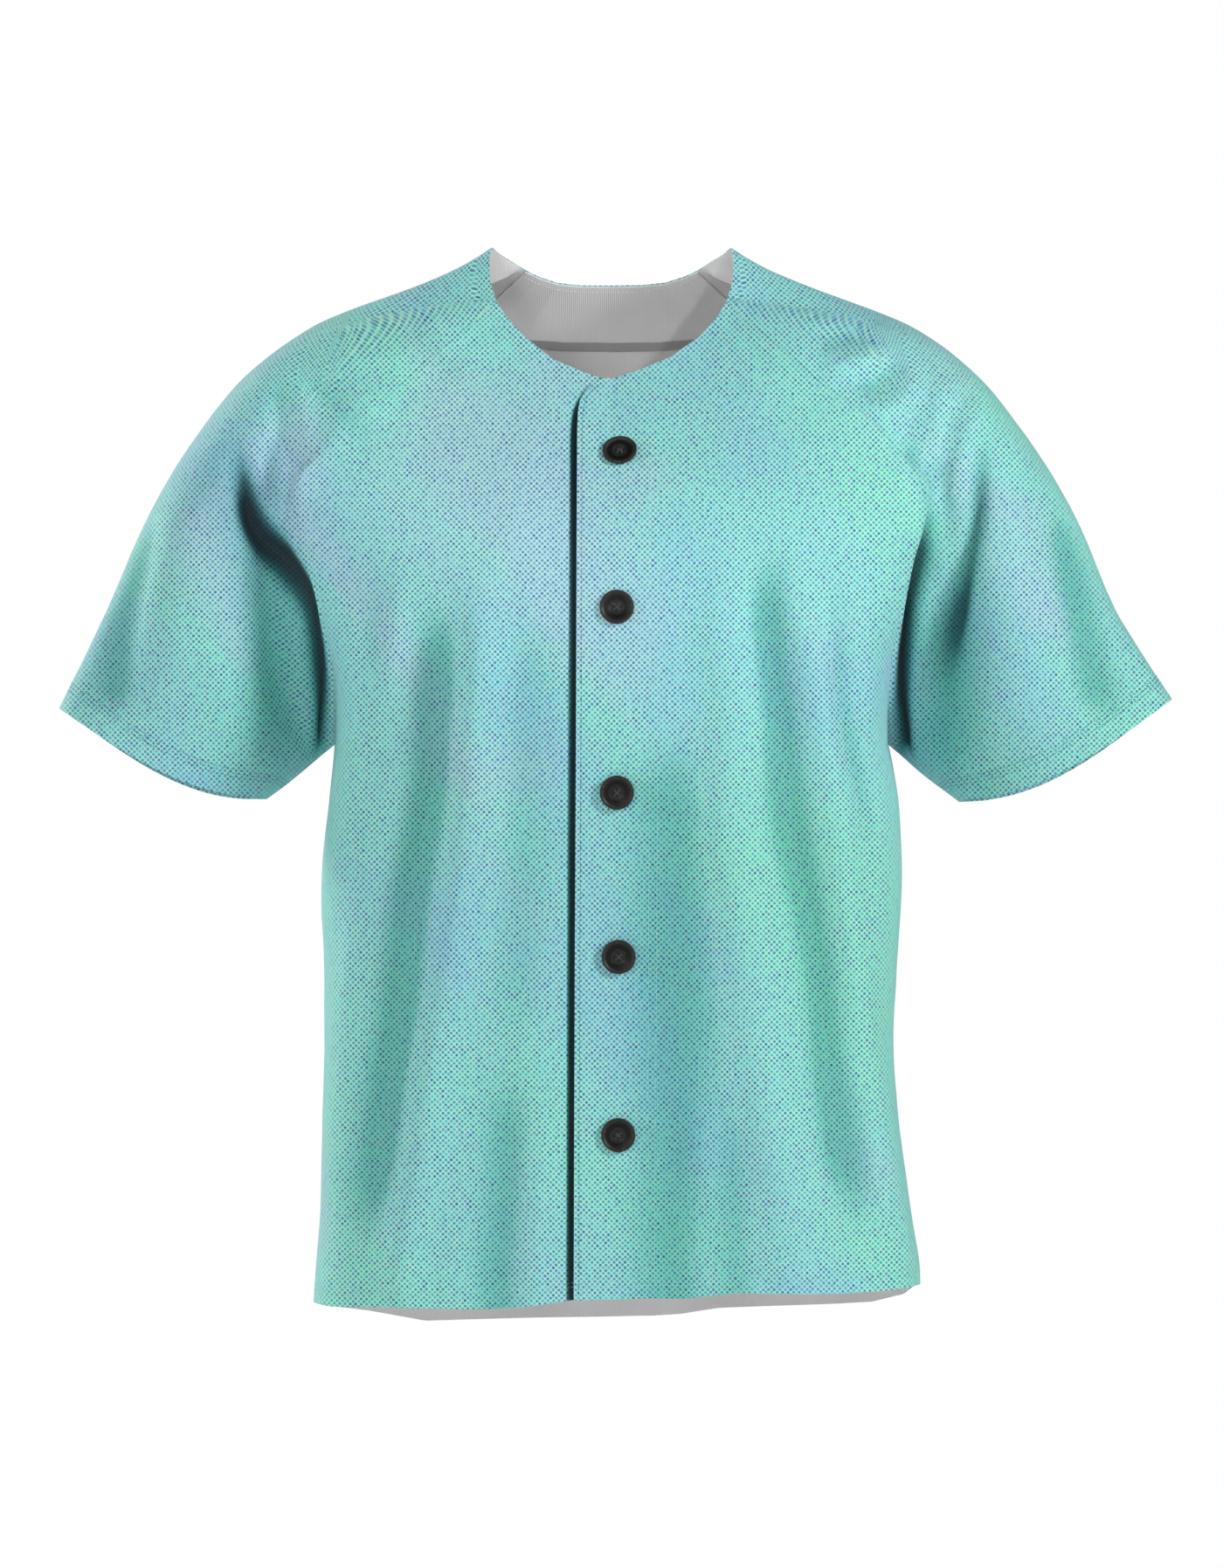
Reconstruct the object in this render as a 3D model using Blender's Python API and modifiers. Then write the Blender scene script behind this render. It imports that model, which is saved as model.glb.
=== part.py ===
"""Short-sleeved jersey with raglan sleeves and a five-button front, filled out as worn with no wearer.

Metres, +Z up. The front faces -Y and the wearer's left is at +X. The origin is where the shoulders hold it up,
level with the two neck points. Tables are in millimetres.
"""

import math

import bpy
import mathutils
import mathutils.kdtree
import numpy as np
from mathutils.bvhtree import BVHTree

MM = 0.001

# Cloth
WALL = 1.8 * MM
SEAM_GAP = 0.3 * MM
LAP_GAP = 0.5 * MM
MITRE_LIMIT = 1.5
SAME_POINT = 0.01

# Levels and the front lap
HEM_MEAN_Z = -752.0
UNDERARM_Z = -356.0
UNDERARM_X = 198.0
UNDER_EDGE_X = 28.0
LAP_FADE_FROM = 34.0
LAP_FADE_TO = 64.0

# Grid
HEM_ROWS = 14
FRONT_COLUMNS = 15
BACK_COLUMNS = 24
SLEEVE_ROWS = 11
NECK_STEPS = 3
UPPER_ROWS = (0.0, 0.08, 0.16, 0.24, 0.32, 0.40, 0.48, 0.56, 0.64, 0.735, 0.83, 0.885, 0.935, 0.97, 1.0)
DENSE = 160

# Back neck facing and its tape
FACING_FROM_ROW = 10
FACING_WALL = 1.0 * MM
TAPE_WALL = 1.0 * MM
TAPE_WIDTH = 7.0 * MM

# Torso below the underarms: height, half width at the wearer's right and left, front and back depth
TORSO = (
    (-772.0, 214.0, 220.5, -123.0, 119.0),
    (-735.0, 212.0, 220.0, -124.0, 117.0),
    (-698.0, 209.0, 214.0, -126.0, 114.0),
    (-648.0, 207.5, 207.5, -128.0, 112.0),
    (-573.0, 205.5, 201.5, -131.0, 111.0),
    (-523.0, 205.5, 204.0, -134.0, 112.0),
    (-436.0, 206.5, 207.5, -142.0, 119.0),
    (-396.0, 202.0, 205.0, -146.5, 123.5),
    (-356.0, 198.0, 198.0, -150.0, 128.0),
)
TORSO_ROUNDNESS = 2.45

# Centre front above the underarms: height, depth
FRONT_CENTRE = (
    (-356.0, -150.0),
    (-300.0, -155.0),
    (-250.0, -153.0),
    (-200.0, -141.0),
    (-170.0, -125.0),
    (-146.0, -107.0),
    (-120.0, -86.0),
    (-96.0, -66.0),
)

# Centre back above the underarms: height, depth
BACK_CENTRE = (
    (-356.0, 128.0),
    (-300.0, 136.0),
    (-250.0, 141.0),
    (-200.0, 142.0),
    (-150.0, 136.0),
    (-110.0, 124.0),
    (-75.0, 106.0),
    (-50.0, 89.0),
    (-25.2, 66.0),
)

# Raglan seams from the underarm to the neckline: across, depth, height
FRONT_RAGLAN = (
    (198.0, 0.0, -356.0),
    (197.5, -28.0, -325.0),
    (200.0, -51.0, -292.0),
    (207.0, -68.0, -260.0),
    (214.0, -82.0, -227.0),
    (221.0, -92.0, -198.0),
    (220.0, -96.0, -169.0),
    (205.0, -96.0, -149.0),
    (175.0, -91.0, -117.5),
    (150.6, -83.0, -101.0),
    (133.0, -74.0, -84.0),
    (107.5, -55.0, -63.0),
    (82.0, -28.0, -39.0),
)
BACK_RAGLAN = (
    (198.0, 0.0, -356.0),
    (205.0, 42.0, -312.0),
    (212.0, 76.0, -262.0),
    (210.0, 98.0, -215.0),
    (192.0, 112.0, -170.0),
    (160.0, 114.0, -122.0),
    (125.0, 104.0, -78.0),
    (90.0, 80.0, -40.0),
    (62.0, 46.0, -14.5),
)

# How each row above the underarms turns towards the seam: share of the way up, turn in degrees, roundness
FRONT_TURN = (
    (0.0, 90.0, 2.45),
    (0.1, 86.0, 2.4),
    (0.2, 78.0, 2.35),
    (0.3, 70.0, 2.3),
    (0.4, 60.0, 2.2),
    (0.5, 52.0, 2.1),
    (0.7, 46.0, 2.0),
    (0.85, 52.0, 2.0),
    (1.0, 70.0, 2.0),
)
BACK_TURN = (
    (0.0, 90.0, 2.45),
    (0.15, 80.0, 2.4),
    (0.3, 66.0, 2.3),
    (0.5, 54.0, 2.1),
    (0.7, 48.0, 2.0),
    (0.85, 52.0, 2.0),
    (1.0, 66.0, 2.0),
)

# Neckline drop from the centre to the raglan seam: share across, share of the rise
FRONT_NECK_RISE = (
    (0.0, 0.0),
    (0.207, 0.09),
    (0.518, 0.281),
    (0.762, 0.544),
    (0.93, 0.82),
    (1.0, 1.0),
)
BACK_NECK_RISE = (
    (0.0, 0.0),
    (0.35, 0.03),
    (0.63, 0.2),
    (0.85, 0.6),
    (1.0, 1.0),
)

# Neckline over the sleeve, from the front raglan seam to the back one: across, depth, height
SLEEVE_NECK = (
    (82.0, -28.0, -39.0),
    (86.5, -16.0, -25.0),
    (87.5, -4.0, -11.0),
    (86.0, 9.0, 0.0),
    (80.0, 24.0, -4.0),
    (72.0, 36.0, -8.5),
    (62.0, 46.0, -14.5),
)

# Hems: across, height
FRONT_HEM = (
    (-213.5, -754.5),
    (-200.0, -756.0),
    (-160.0, -755.0),
    (-92.0, -756.0),
    (-66.0, -754.5),
    (-29.0, -749.5),
    (27.0, -748.0),
    (51.0, -748.5),
    (89.0, -744.5),
    (163.0, -745.5),
    (195.0, -744.0),
    (220.5, -741.5),
)
BACK_HEM = (
    (-213.5, -754.5),
    (-200.0, -760.0),
    (-175.0, -764.0),
    (-135.0, -772.0),
    (-28.0, -770.0),
    (29.0, -769.0),
    (51.0, -767.5),
    (77.0, -763.5),
    (163.0, -759.5),
    (187.0, -757.5),
    (210.0, -751.0),
    (220.5, -741.5),
)

# Front edge of the upper lap: height, across
OVER_EDGE = (
    (-757.0, -26.9),
    (-500.0, -26.0),
    (-300.0, -25.0),
    (-137.0, -24.4),
    (-124.0, -23.8),
    (-117.5, -22.6),
    (-111.0, -19.5),
    (-105.0, -15.0),
    (-99.5, -9.0),
    (-96.0, -3.0),
)

# Sleeve hoops: share of the length, bottom across and height, top across and height,
# depth at front and back, how far the depth leans to the bottom, how far the front and the back stand on along the arm
SLEEVE_HOOPS = (
    (0.28, 209.0, -365.0, 222.0, -61.5, -72.0, 82.0, -0.3, 28.0, 28.0),
    (0.42, 217.0, -372.0, 266.0, -96.5, -80.0, 84.0, -0.12, 26.0, 26.0),
    (0.56, 223.5, -377.5, 305.5, -148.0, -79.0, 82.0, -0.05, 21.0, 21.0),
    (0.70, 230.5, -383.0, 334.0, -198.0, -73.0, 76.0, 0.0, 16.0, 16.0),
    (0.85, 238.5, -389.0, 361.5, -261.0, -62.0, 65.0, 0.0, 13.0, 14.0),
)
CUFF_RIGHT = (1.0, 247.0, -395.0, 395.0, -330.0, -52.0, 54.0, 0.0, 11.5, 15.0)
CUFF_LEFT = (1.0, 249.0, -397.0, 401.0, -323.5, -52.0, 54.0, 0.0, 11.5, 15.0)
STAND_LEAN = 0.4
NECK_DIP = 0.27

# Where each seam point meets the hoops: share of the way up the raglan seam, degrees round from the bottom
SEAM_ANGLE = (
    (0.0, 0.0),
    (0.1, 21.0),
    (0.2, 42.0),
    (0.3, 60.0),
    (0.45, 85.0),
    (0.6, 108.0),
    (0.72, 127.0),
    (0.87, 147.0),
    (1.0, 162.0),
)
# Share of even spacing round each hoop, from the first one to the cuff
EVEN_SPACING = (0.0, 0.14, 0.27, 0.41, 0.56, 0.7)

# Largest folds, seen from the front or back: side faced, start across and height, end across and height,
# half width, how far out
FOLDS = (
    (-1, -97.0, -262.0, -97.0, -745.0, 26.0, 5.0),
    (-1, -124.0, -300.0, -160.0, -610.0, 24.0, -8.0),
    (-1, -162.0, -245.0, -162.0, -325.0, 15.0, -3.5),
    (-1, -128.0, -600.0, -158.0, -760.0, 30.0, 6.0),
    (-1, -76.0, -636.0, -78.0, -760.0, 20.0, -6.0),
    (-1, 91.0, -236.0, 94.0, -604.0, 26.0, 5.0),
    (-1, 119.0, -255.0, 146.0, -490.0, 18.0, -5.0),
    (-1, 62.0, -400.0, 96.0, -750.0, 30.0, -6.0),
    (-1, 128.0, -560.0, 143.0, -760.0, 30.0, 6.0),
    (-1, 175.0, -500.0, 180.0, -715.0, 22.0, -5.0),
    (-1, 147.0, -88.0, 195.0, -65.0, 13.0, -3.5),
    (-1, 178.0, -114.0, 216.0, -88.0, 14.0, -4.0),
    (-1, 256.0, -112.0, 232.0, -180.0, 12.0, -5.0),
    (-1, 262.0, -172.0, 236.0, -280.0, 18.0, -9.0),
    (-1, 337.0, -215.0, 362.0, -330.0, 20.0, -5.0),
    (-1, -229.0, -108.0, -227.0, -185.0, 12.0, -5.0),
    (-1, -264.0, -140.0, -236.0, -225.0, 18.0, -9.0),
    (-1, -236.0, -225.0, -214.0, -330.0, 20.0, -10.0),
    (-1, -322.0, -190.0, -346.0, -305.0, 20.0, -5.0),
    (1, -105.0, -240.0, -120.0, -640.0, 28.0, -6.0),
    (1, -52.0, -330.0, -60.0, -765.0, 30.0, 6.0),
    (1, 18.0, -260.0, 10.0, -560.0, 24.0, -4.0),
    (1, 70.0, -300.0, 88.0, -765.0, 30.0, 6.5),
    (1, 128.0, -230.0, 136.0, -600.0, 26.0, -6.5),
    (1, 165.0, -520.0, 172.0, -740.0, 24.0, 5.0),
    (1, 245.0, -130.0, 232.0, -250.0, 18.0, -7.0),
    (1, 300.0, -180.0, 330.0, -330.0, 20.0, -5.0),
    (1, -242.0, -125.0, -230.0, -240.0, 18.0, -7.0),
    (1, -296.0, -170.0, -322.0, -325.0, 20.0, -5.0),
)

# Buttons: across, height
BUTTONS = (
    (6.0, -149.5),
    (3.75, -259.5),
    (3.75, -390.0),
    (5.0, -506.0),
    (4.75, -632.0),
)
BUTTON_RADIUS = 12.1 * MM
BUTTON_SEAT = 0.3 * MM
# Button section from the back centre round to the dish: radius and height as shares of the radius
BUTTON_SECTION = (
    (0.0, 0.0),
    (0.9, 0.0),
    (1.0, 0.12),
    (0.96, 0.23),
    (0.84, 0.25),
    (0.68, 0.18),
    (0.42, 0.14),
    (0.0, 0.14),
)
BUTTON_STEPS = 20
HOLE_OFFSET = 0.15
HOLE_RADIUS = 0.075
HOLE_SIDES = 8


def through(knots, values, at):
    """Smooth curve through the values at the knots, read at the given places."""
    knots = np.asarray(knots, float)
    values = np.asarray(values, float)
    at = np.clip(np.asarray(at, float), knots[0], knots[-1])
    slopes = np.gradient(values, knots, axis=0)
    low = np.clip(np.searchsorted(knots, at, side="right") - 1, 0, len(knots) - 2)
    span = knots[low + 1] - knots[low]
    share = (at - knots[low]) / span
    if values.ndim > 1:
        span = span[..., None]
        share = share[..., None]
    return (
        values[low] * (2 * share**3 - 3 * share**2 + 1)
        + values[low + 1] * (3 * share**2 - 2 * share**3)
        + slopes[low] * span * (share**3 - 2 * share**2 + share)
        + slopes[low + 1] * span * (share**3 - share**2)
    )


def column(table, index):
    return np.array([row[index] for row in table])


def read(table, index, at):
    return through(column(table, 0), column(table, index), at)


def lengths(points):
    steps = np.linalg.norm(np.diff(points, axis=0), axis=1)
    return np.concatenate([[0.0], np.cumsum(steps)])


def spaced(points, shares):
    """Points at these shares of the length of a fine line."""
    run = lengths(points)
    at = np.asarray(shares) * run[-1]
    return np.stack([np.interp(at, run, points[:, axis]) for axis in range(3)], axis=1)


def smooth_line(points, shares):
    """Points at these shares of the length of a smooth line through a few points."""
    points = np.asarray(points, float)
    run = lengths(points)
    return spaced(through(run, points, np.linspace(0.0, run[-1], DENSE)), shares)


def eased(value, low, high):
    share = np.clip((value - low) / (high - low), 0.0, 1.0)
    return share * share * (3 - 2 * share)


def arc(start_y, end, turn, roundness):
    """Line in plan from the centre to the end point, turning by the given angle."""
    angle = np.linspace(0.0, math.radians(turn), DENSE)
    power = 2.0 / roundness
    across = (np.sin(angle) / math.sin(angle[-1])) ** power
    fall = 1.0 - np.clip(np.cos(angle), 0.0, 1.0) ** power
    return end[0] * across, start_y + (end[1] - start_y) * fall / fall[-1]


def half_row(side, front, level):
    """Fine line from the centre to the seam at one level: 0 is the hem, 1 the underarm, 2 the neckline."""
    centre, raglan, turns = (
        (FRONT_CENTRE, FRONT_RAGLAN, FRONT_TURN) if front else (BACK_CENTRE, BACK_RAGLAN, BACK_TURN)
    )
    rise, hem = (FRONT_NECK_RISE, FRONT_HEM) if front else (BACK_NECK_RISE, BACK_HEM)
    if level <= 1.0:
        middle_z = HEM_MEAN_Z + (UNDERARM_Z - HEM_MEAN_Z) * level
        half_width = read(TORSO, 2 if side > 0 else 1, middle_z)
        depth = read(TORSO, 3 if front else 4, middle_z)
        x, y = arc(depth, (half_width, 0.0), 90.0, TORSO_ROUNDNESS)
        stretch = read(TORSO, 2 if side > 0 else 1, HEM_MEAN_Z) / half_width
        hem_z = np.interp(side * x * stretch, column(hem, 0), column(hem, 1))
        z = hem_z * (1.0 - level) + UNDERARM_Z * level
    else:
        share = level - 1.0
        middle = smooth_line([(0.0, row[1], row[0]) for row in centre], [share])[0]
        end = smooth_line(raglan, [share])[0]
        x, y = arc(middle[1], end, read(turns, 1, share), read(turns, 2, share))
        z = middle[2] + (end[2] - middle[2]) * np.interp(x / end[0], column(rise, 0), column(rise, 1))
    return np.stack([side * x, y, z], axis=1)


def full_row(front, level):
    """Fine line from the wearer's right seam to the left one."""
    right = half_row(-1, front, level)
    left = half_row(1, front, level)
    return np.concatenate([right[::-1], left[1:]])


def cut_row(row, edge_x, side):
    """The part of a row from the lap edge out to one side."""
    run = lengths(row)
    at = np.interp(edge_x, row[:, 0], run)
    edge = np.array([np.interp(at, run, row[:, axis]) for axis in range(3)])
    if side > 0:
        return np.concatenate([[edge], row[run > at + 0.01]])
    return np.concatenate([row[run < at - 0.01], [edge]])[::-1]


def levels():
    return list(np.linspace(0.0, 1.0, HEM_ROWS + 1)) + [1.0 + share for share in UPPER_ROWS[1:]]


def front_grid(side):
    """Grid of one front, by row from the hem up and by column from the lap edge to the seam."""
    grid = []
    for level in levels():
        row = full_row(True, level)
        if side > 0:
            middle = row[np.abs(row[:, 0]).argmin()]
            edge_x = np.interp(middle[2], column(OVER_EDGE, 0), column(OVER_EDGE, 1))
        else:
            edge_x = UNDER_EDGE_X
        grid.append(spaced(cut_row(row, edge_x, side), np.linspace(0.0, 1.0, FRONT_COLUMNS + 1)))
    return np.array(grid)


def back_grid():
    """Grid of the back, by row from the hem up and by column from the wearer's right to left."""
    shares = np.linspace(0.0, 1.0, BACK_COLUMNS + 1)
    return np.array([spaced(full_row(False, level), shares) for level in levels()])


def hoop(row, turn):
    """Points round a sleeve hoop at these angles: 0 at the bottom, half a turn at the top, the front first."""
    share, bottom_x, bottom_z, top_x, top_z, front_y, back_y, lean, front_stand, back_stand = row
    bottom = np.array([bottom_x, bottom_z])
    top = np.array([top_x, top_z])
    half = (bottom - top) / 2
    away = np.array([-half[1], half[0]]) / np.linalg.norm(half)
    middle = (bottom + top) / 2
    in_front = np.sin(turn) >= 0
    stand = np.where(in_front, front_stand, back_stand) * np.sin(turn) ** 2 * (1 + STAND_LEAN * np.cos(turn))
    flat = middle + np.cos(turn)[:, None] * half + stand[:, None] * away
    depth = np.where(in_front, front_y, back_y) * np.abs(np.sin(turn)) * (1 + lean * np.cos(turn))
    return np.stack([flat[:, 0], depth, flat[:, 1]], axis=1)


def sleeve_grid(side, front, back, front_normal, back_normal):
    """Grid of a sleeve, by row from the armhole to the cuff and by column round from the underarm, front first."""
    first = HEM_ROWS
    seam_steps = len(UPPER_ROWS) - 1
    mirrored = np.array([side, 1.0, 1.0])
    front_seam = front[first:] * mirrored
    back_seam = back[first:] * mirrored
    neck = smooth_line(SLEEVE_NECK, np.linspace(0.0, 1.0, 2 * NECK_STEPS + 1))
    loop = np.concatenate([front_seam, neck[1:-1], back_seam[::-1][:-1]])
    around = len(loop)
    even = np.arange(around) * 2 * math.pi / around
    seam_angle = np.radians(read(SEAM_ANGLE, 1, np.array(UPPER_ROWS)))
    over = np.linspace(seam_angle[-1], 2 * math.pi - seam_angle[-1], 2 * NECK_STEPS + 1)
    matched = np.concatenate([seam_angle, over[1:-1], 2 * math.pi - seam_angle[::-1][:-1]])
    rows = SLEEVE_HOOPS + (CUFF_LEFT if side > 0 else CUFF_RIGHT,)
    knots = np.array([0.0] + [row[0] for row in rows])
    hoops = [hoop(row, matched * (1 - share) + even * share) for row, share in zip(rows, EVEN_SPACING)]
    stations = np.array([loop] + hoops)
    chord = stations[1] - stations[0]
    size = np.linalg.norm(chord, axis=1, keepdims=True)
    heading = chord / size
    normals = np.zeros_like(loop)
    hold = np.zeros(around)
    normals[: seam_steps + 1] = front_normal[first:] * mirrored
    hold[: seam_steps + 1] = eased(np.array(UPPER_ROWS), 0.2, 0.5)
    back_part = slice(around - seam_steps, around)
    normals[back_part] = (back_normal[first:] * mirrored)[::-1][:-1]
    hold[back_part] = eased(np.array(UPPER_ROWS), 0.2, 0.5)[::-1][:-1]
    along_normal = (heading * normals).sum(axis=1, keepdims=True)
    tangent = heading - hold[:, None] * along_normal * normals
    neck_part = slice(seam_steps + 1, around - seam_steps)
    tangent[neck_part, 2] -= NECK_DIP
    tangent /= np.linalg.norm(tangent, axis=1, keepdims=True)
    slopes = np.gradient(stations, knots, axis=0)
    slopes[0] = tangent * size / knots[1]
    grid = []
    for share in np.linspace(0.0, 1.0, SLEEVE_ROWS + 1):
        low = min(int(np.searchsorted(knots, share, side="right")) - 1, len(knots) - 2)
        span = knots[low + 1] - knots[low]
        part = (share - knots[low]) / span
        grid.append(
            stations[low] * (2 * part**3 - 3 * part**2 + 1)
            + stations[low + 1] * (3 * part**2 - 2 * part**3)
            + slopes[low] * span * (part**3 - 2 * part**2 + part)
            + slopes[low + 1] * span * (part**3 - part**2)
        )
    return np.array(grid) * mirrored


def grid_normals(grid, closed, flip):
    """Normal at each point of a grid."""
    rows, columns = grid.shape[:2]
    normals = np.zeros_like(grid)
    last = columns if closed else columns - 1
    for j in range(last):
        k = (j + 1) % columns
        across = grid[1:, k] - grid[:-1, j]
        other = grid[1:, j] - grid[:-1, k]
        face = np.cross(across, other)
        for at_row, at_column in ((slice(1, None), k), (slice(None, -1), j), (slice(1, None), j), (slice(None, -1), k)):
            normals[at_row, at_column] += face
    normals /= np.linalg.norm(normals, axis=2, keepdims=True)
    return -normals if flip else normals


def shared_normals(panels):
    """One normal for the points that panels share, and how much further the wall reaches there."""
    points = np.concatenate([panel["grid"].reshape(-1, 3) for panel in panels.values()])
    own = [grid_normals(panel["grid"], panel["closed"], panel["flip"]).reshape(-1, 3) for panel in panels.values()]
    own = np.concatenate(own)
    tree = mathutils.kdtree.KDTree(len(points))
    for index, point in enumerate(points):
        tree.insert(point, index)
    tree.balance()
    normals = np.empty_like(points)
    reach = np.empty(len(points))
    for index, point in enumerate(points):
        met = own[[found for _, found, _ in tree.find_range(point, SAME_POINT)]]
        mean = met.sum(axis=0)
        mean /= np.linalg.norm(mean)
        normals[index] = mean
        reach[index] = min(1.0 / max((met @ mean).min(), 0.1), MITRE_LIMIT)
    first = 0
    for panel in panels.values():
        shape = panel["grid"].shape
        last = first + shape[0] * shape[1]
        panel["normal"] = normals[first:last].reshape(shape)
        panel["reach"] = reach[first:last].reshape(shape[:2])
        first = last


def fold_height(points, normals):
    """How far the folds move each point out."""
    height = np.zeros(points.shape[:-1])
    flat = points[..., [0, 2]]
    for faced, start_x, start_z, end_x, end_z, half_width, out in FOLDS:
        start = np.array([start_x, start_z])
        line = np.array([end_x, end_z]) - start
        length = np.linalg.norm(line)
        line /= length
        along = (flat - start) @ line
        off = (flat - start) @ np.array([-line[1], line[0]])
        fade = eased(along, -0.5 * half_width, 1.5 * half_width)
        fade *= 1.0 - eased(along, length - 1.5 * half_width, length + 0.5 * half_width)
        facing = eased(normals[..., 1] * faced, 0.1, 0.6)
        height += out * fade * facing * np.exp(-((off / half_width) ** 2))
    return height


def make_panels():
    fronts = {"front_right": front_grid(-1), "front_left": front_grid(1)}
    back = back_grid()
    back_normal = grid_normals(back, False, True)
    panels = {
        "front_right": {"grid": fronts["front_right"], "closed": False, "flip": True},
        "front_left": {"grid": fronts["front_left"], "closed": False, "flip": False},
        "back": {"grid": back, "closed": False, "flip": True},
    }
    for side, name, seam in ((-1, "sleeve_right", 0), (1, "sleeve_left", -1)):
        front_name = "front_right" if side < 0 else "front_left"
        front = fronts[front_name]
        front_normal = grid_normals(front, False, panels[front_name]["flip"])
        grid = sleeve_grid(side, front[:, -1], back[:, seam], front_normal[:, -1], back_normal[:, seam])
        panels[name] = {"grid": grid, "closed": True, "flip": side > 0}
    shared_normals(panels)
    for panel in panels.values():
        panel["height"] = fold_height(panel["grid"], panel["normal"])
    for panel in panels.values():
        panel["grid"] = panel["grid"] + panel["normal"] * panel["height"][..., None]
    lower = panels["front_right"]
    inward = (WALL + LAP_GAP) / MM
    shift = inward * eased(lower["grid"][..., 0], -LAP_FADE_TO, -LAP_FADE_FROM)
    lower["grid"] = lower["grid"] - lower["normal"] * shift[..., None]
    shared_normals(panels)
    return panels


def pulled_in(grid, closed):
    """The grid in metres with its edges drawn back by half a seam gap."""
    points = grid * MM
    moved = points.copy()
    back = SEAM_GAP / 2
    for edge, beside in ((0, 1), (-1, -2)):
        step = points[beside] - points[edge]
        moved[edge] += back * step / np.linalg.norm(step, axis=1, keepdims=True)
        if not closed:
            step = points[:, beside] - points[:, edge]
            moved[:, edge] += back * step / np.linalg.norm(step, axis=1, keepdims=True)
    return moved


def shell(name, outer, inner, closed, flip, material):
    """Closed wall between two matching grids."""
    rows, columns = outer.shape[:2]
    count = rows * columns
    steps = columns if closed else columns - 1
    faces = []
    for i in range(rows - 1):
        for j in range(steps):
            k = (j + 1) % columns
            ring = (i * columns + j, i * columns + k, (i + 1) * columns + k, (i + 1) * columns + j)
            for triangle in (ring[:3], (ring[0], ring[2], ring[3])):
                faces.append(triangle)
                faces.append(tuple(count + index for index in reversed(triangle)))
    rim = []
    for j in range(steps):
        k = (j + 1) % columns
        top = (rows - 1) * columns
        rim.append((k, j))
        rim.append((top + j, top + k))
    if not closed:
        for i in range(rows - 1):
            low = i * columns
            high = low + columns
            rim.append((low, high))
            rim.append((high + columns - 1, low + columns - 1))
    points = np.concatenate([outer.reshape(-1, 3), inner.reshape(-1, 3)])
    for start, end in rim:
        if np.linalg.norm(points[start] - points[count + end]) < np.linalg.norm(points[end] - points[count + start]):
            faces.append((start, end, count + end))
            faces.append((start, count + end, count + start))
        else:
            faces.append((start, end, count + start))
            faces.append((end, count + end, count + start))
    if flip:
        faces = [tuple(reversed(face)) for face in faces]
    mesh = bpy.data.meshes.new(name)
    mesh.from_pydata(points.tolist(), [], faces)
    mesh.shade_smooth()
    mesh.materials.append(material)
    made = bpy.data.objects.new(name, mesh)
    bpy.data.collections[COLLECTION].objects.link(made)
    return made


COLLECTION = "baseball_jersey"
CUTTERS = "baseball_jersey_cutters"


def clear_scene():
    for existing in list(bpy.data.objects):
        bpy.data.objects.remove(existing)


def make_collections():
    for name in (COLLECTION, CUTTERS):
        made = bpy.data.collections.new(name)
        bpy.context.scene.collection.children.link(made)
    bpy.data.collections[CUTTERS].hide_render = True


def make_material(name, colour, roughness):
    material = bpy.data.materials.new(name)
    material.use_nodes = True
    shader = material.node_tree.nodes["Principled BSDF"]
    shader.inputs["Base Color"].default_value = colour
    shader.inputs["Roughness"].default_value = roughness
    return material


def facing_and_tape(back, cloth, tape_material):
    """Facing inside the back neck with the rows and columns of the back, and the tape over its lower edge."""
    first = HEM_ROWS + FACING_FROM_ROW
    grid = pulled_in(back["grid"][first:], False)
    normal = back["normal"][first:]
    reach = back["reach"][first:][..., None]
    outer = grid - normal * (WALL * reach + SEAM_GAP)
    inner = outer - normal * FACING_WALL
    shell("back_neck_facing", outer, inner, False, True, cloth)
    step = inner[1] - inner[0]
    step *= TAPE_WIDTH / np.linalg.norm(step, axis=1, keepdims=True)
    near = np.stack([inner[0], inner[0] + step]) - normal[:2] * SEAM_GAP
    near = near[:, 1:-1]
    shell("facing_tape", near, near - normal[:2, 1:-1] * TAPE_WALL, False, True, tape_material)


def button_blank(name):
    """Disc with a raised rim and a dish, turned about its axis."""
    mesh = bpy.data.meshes.new(name)
    profile = [(radius * BUTTON_RADIUS, 0.0, height * BUTTON_RADIUS) for radius, height in BUTTON_SECTION]
    mesh.from_pydata(profile, [(i, i + 1) for i in range(len(profile) - 1)], [])
    made = bpy.data.objects.new(name, mesh)
    bpy.data.collections[COLLECTION].objects.link(made)
    turned = made.modifiers.new("turned", "SCREW")
    turned.steps = BUTTON_STEPS
    turned.render_steps = BUTTON_STEPS
    turned.use_merge_vertices = True
    turned.merge_threshold = 0.00001
    turned.use_normal_calculate = True
    return made


def hole_cutter(name, x, y):
    bpy.ops.mesh.primitive_cylinder_add(
        vertices=HOLE_SIDES, radius=HOLE_RADIUS * BUTTON_RADIUS, depth=BUTTON_RADIUS, location=(x, y, 0.0)
    )
    made = bpy.context.object
    made.name = name
    for held in list(made.users_collection):
        held.objects.unlink(made)
    bpy.data.collections[CUTTERS].objects.link(made)
    made.hide_render = True
    made.display_type = "WIRE"
    return made


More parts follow.
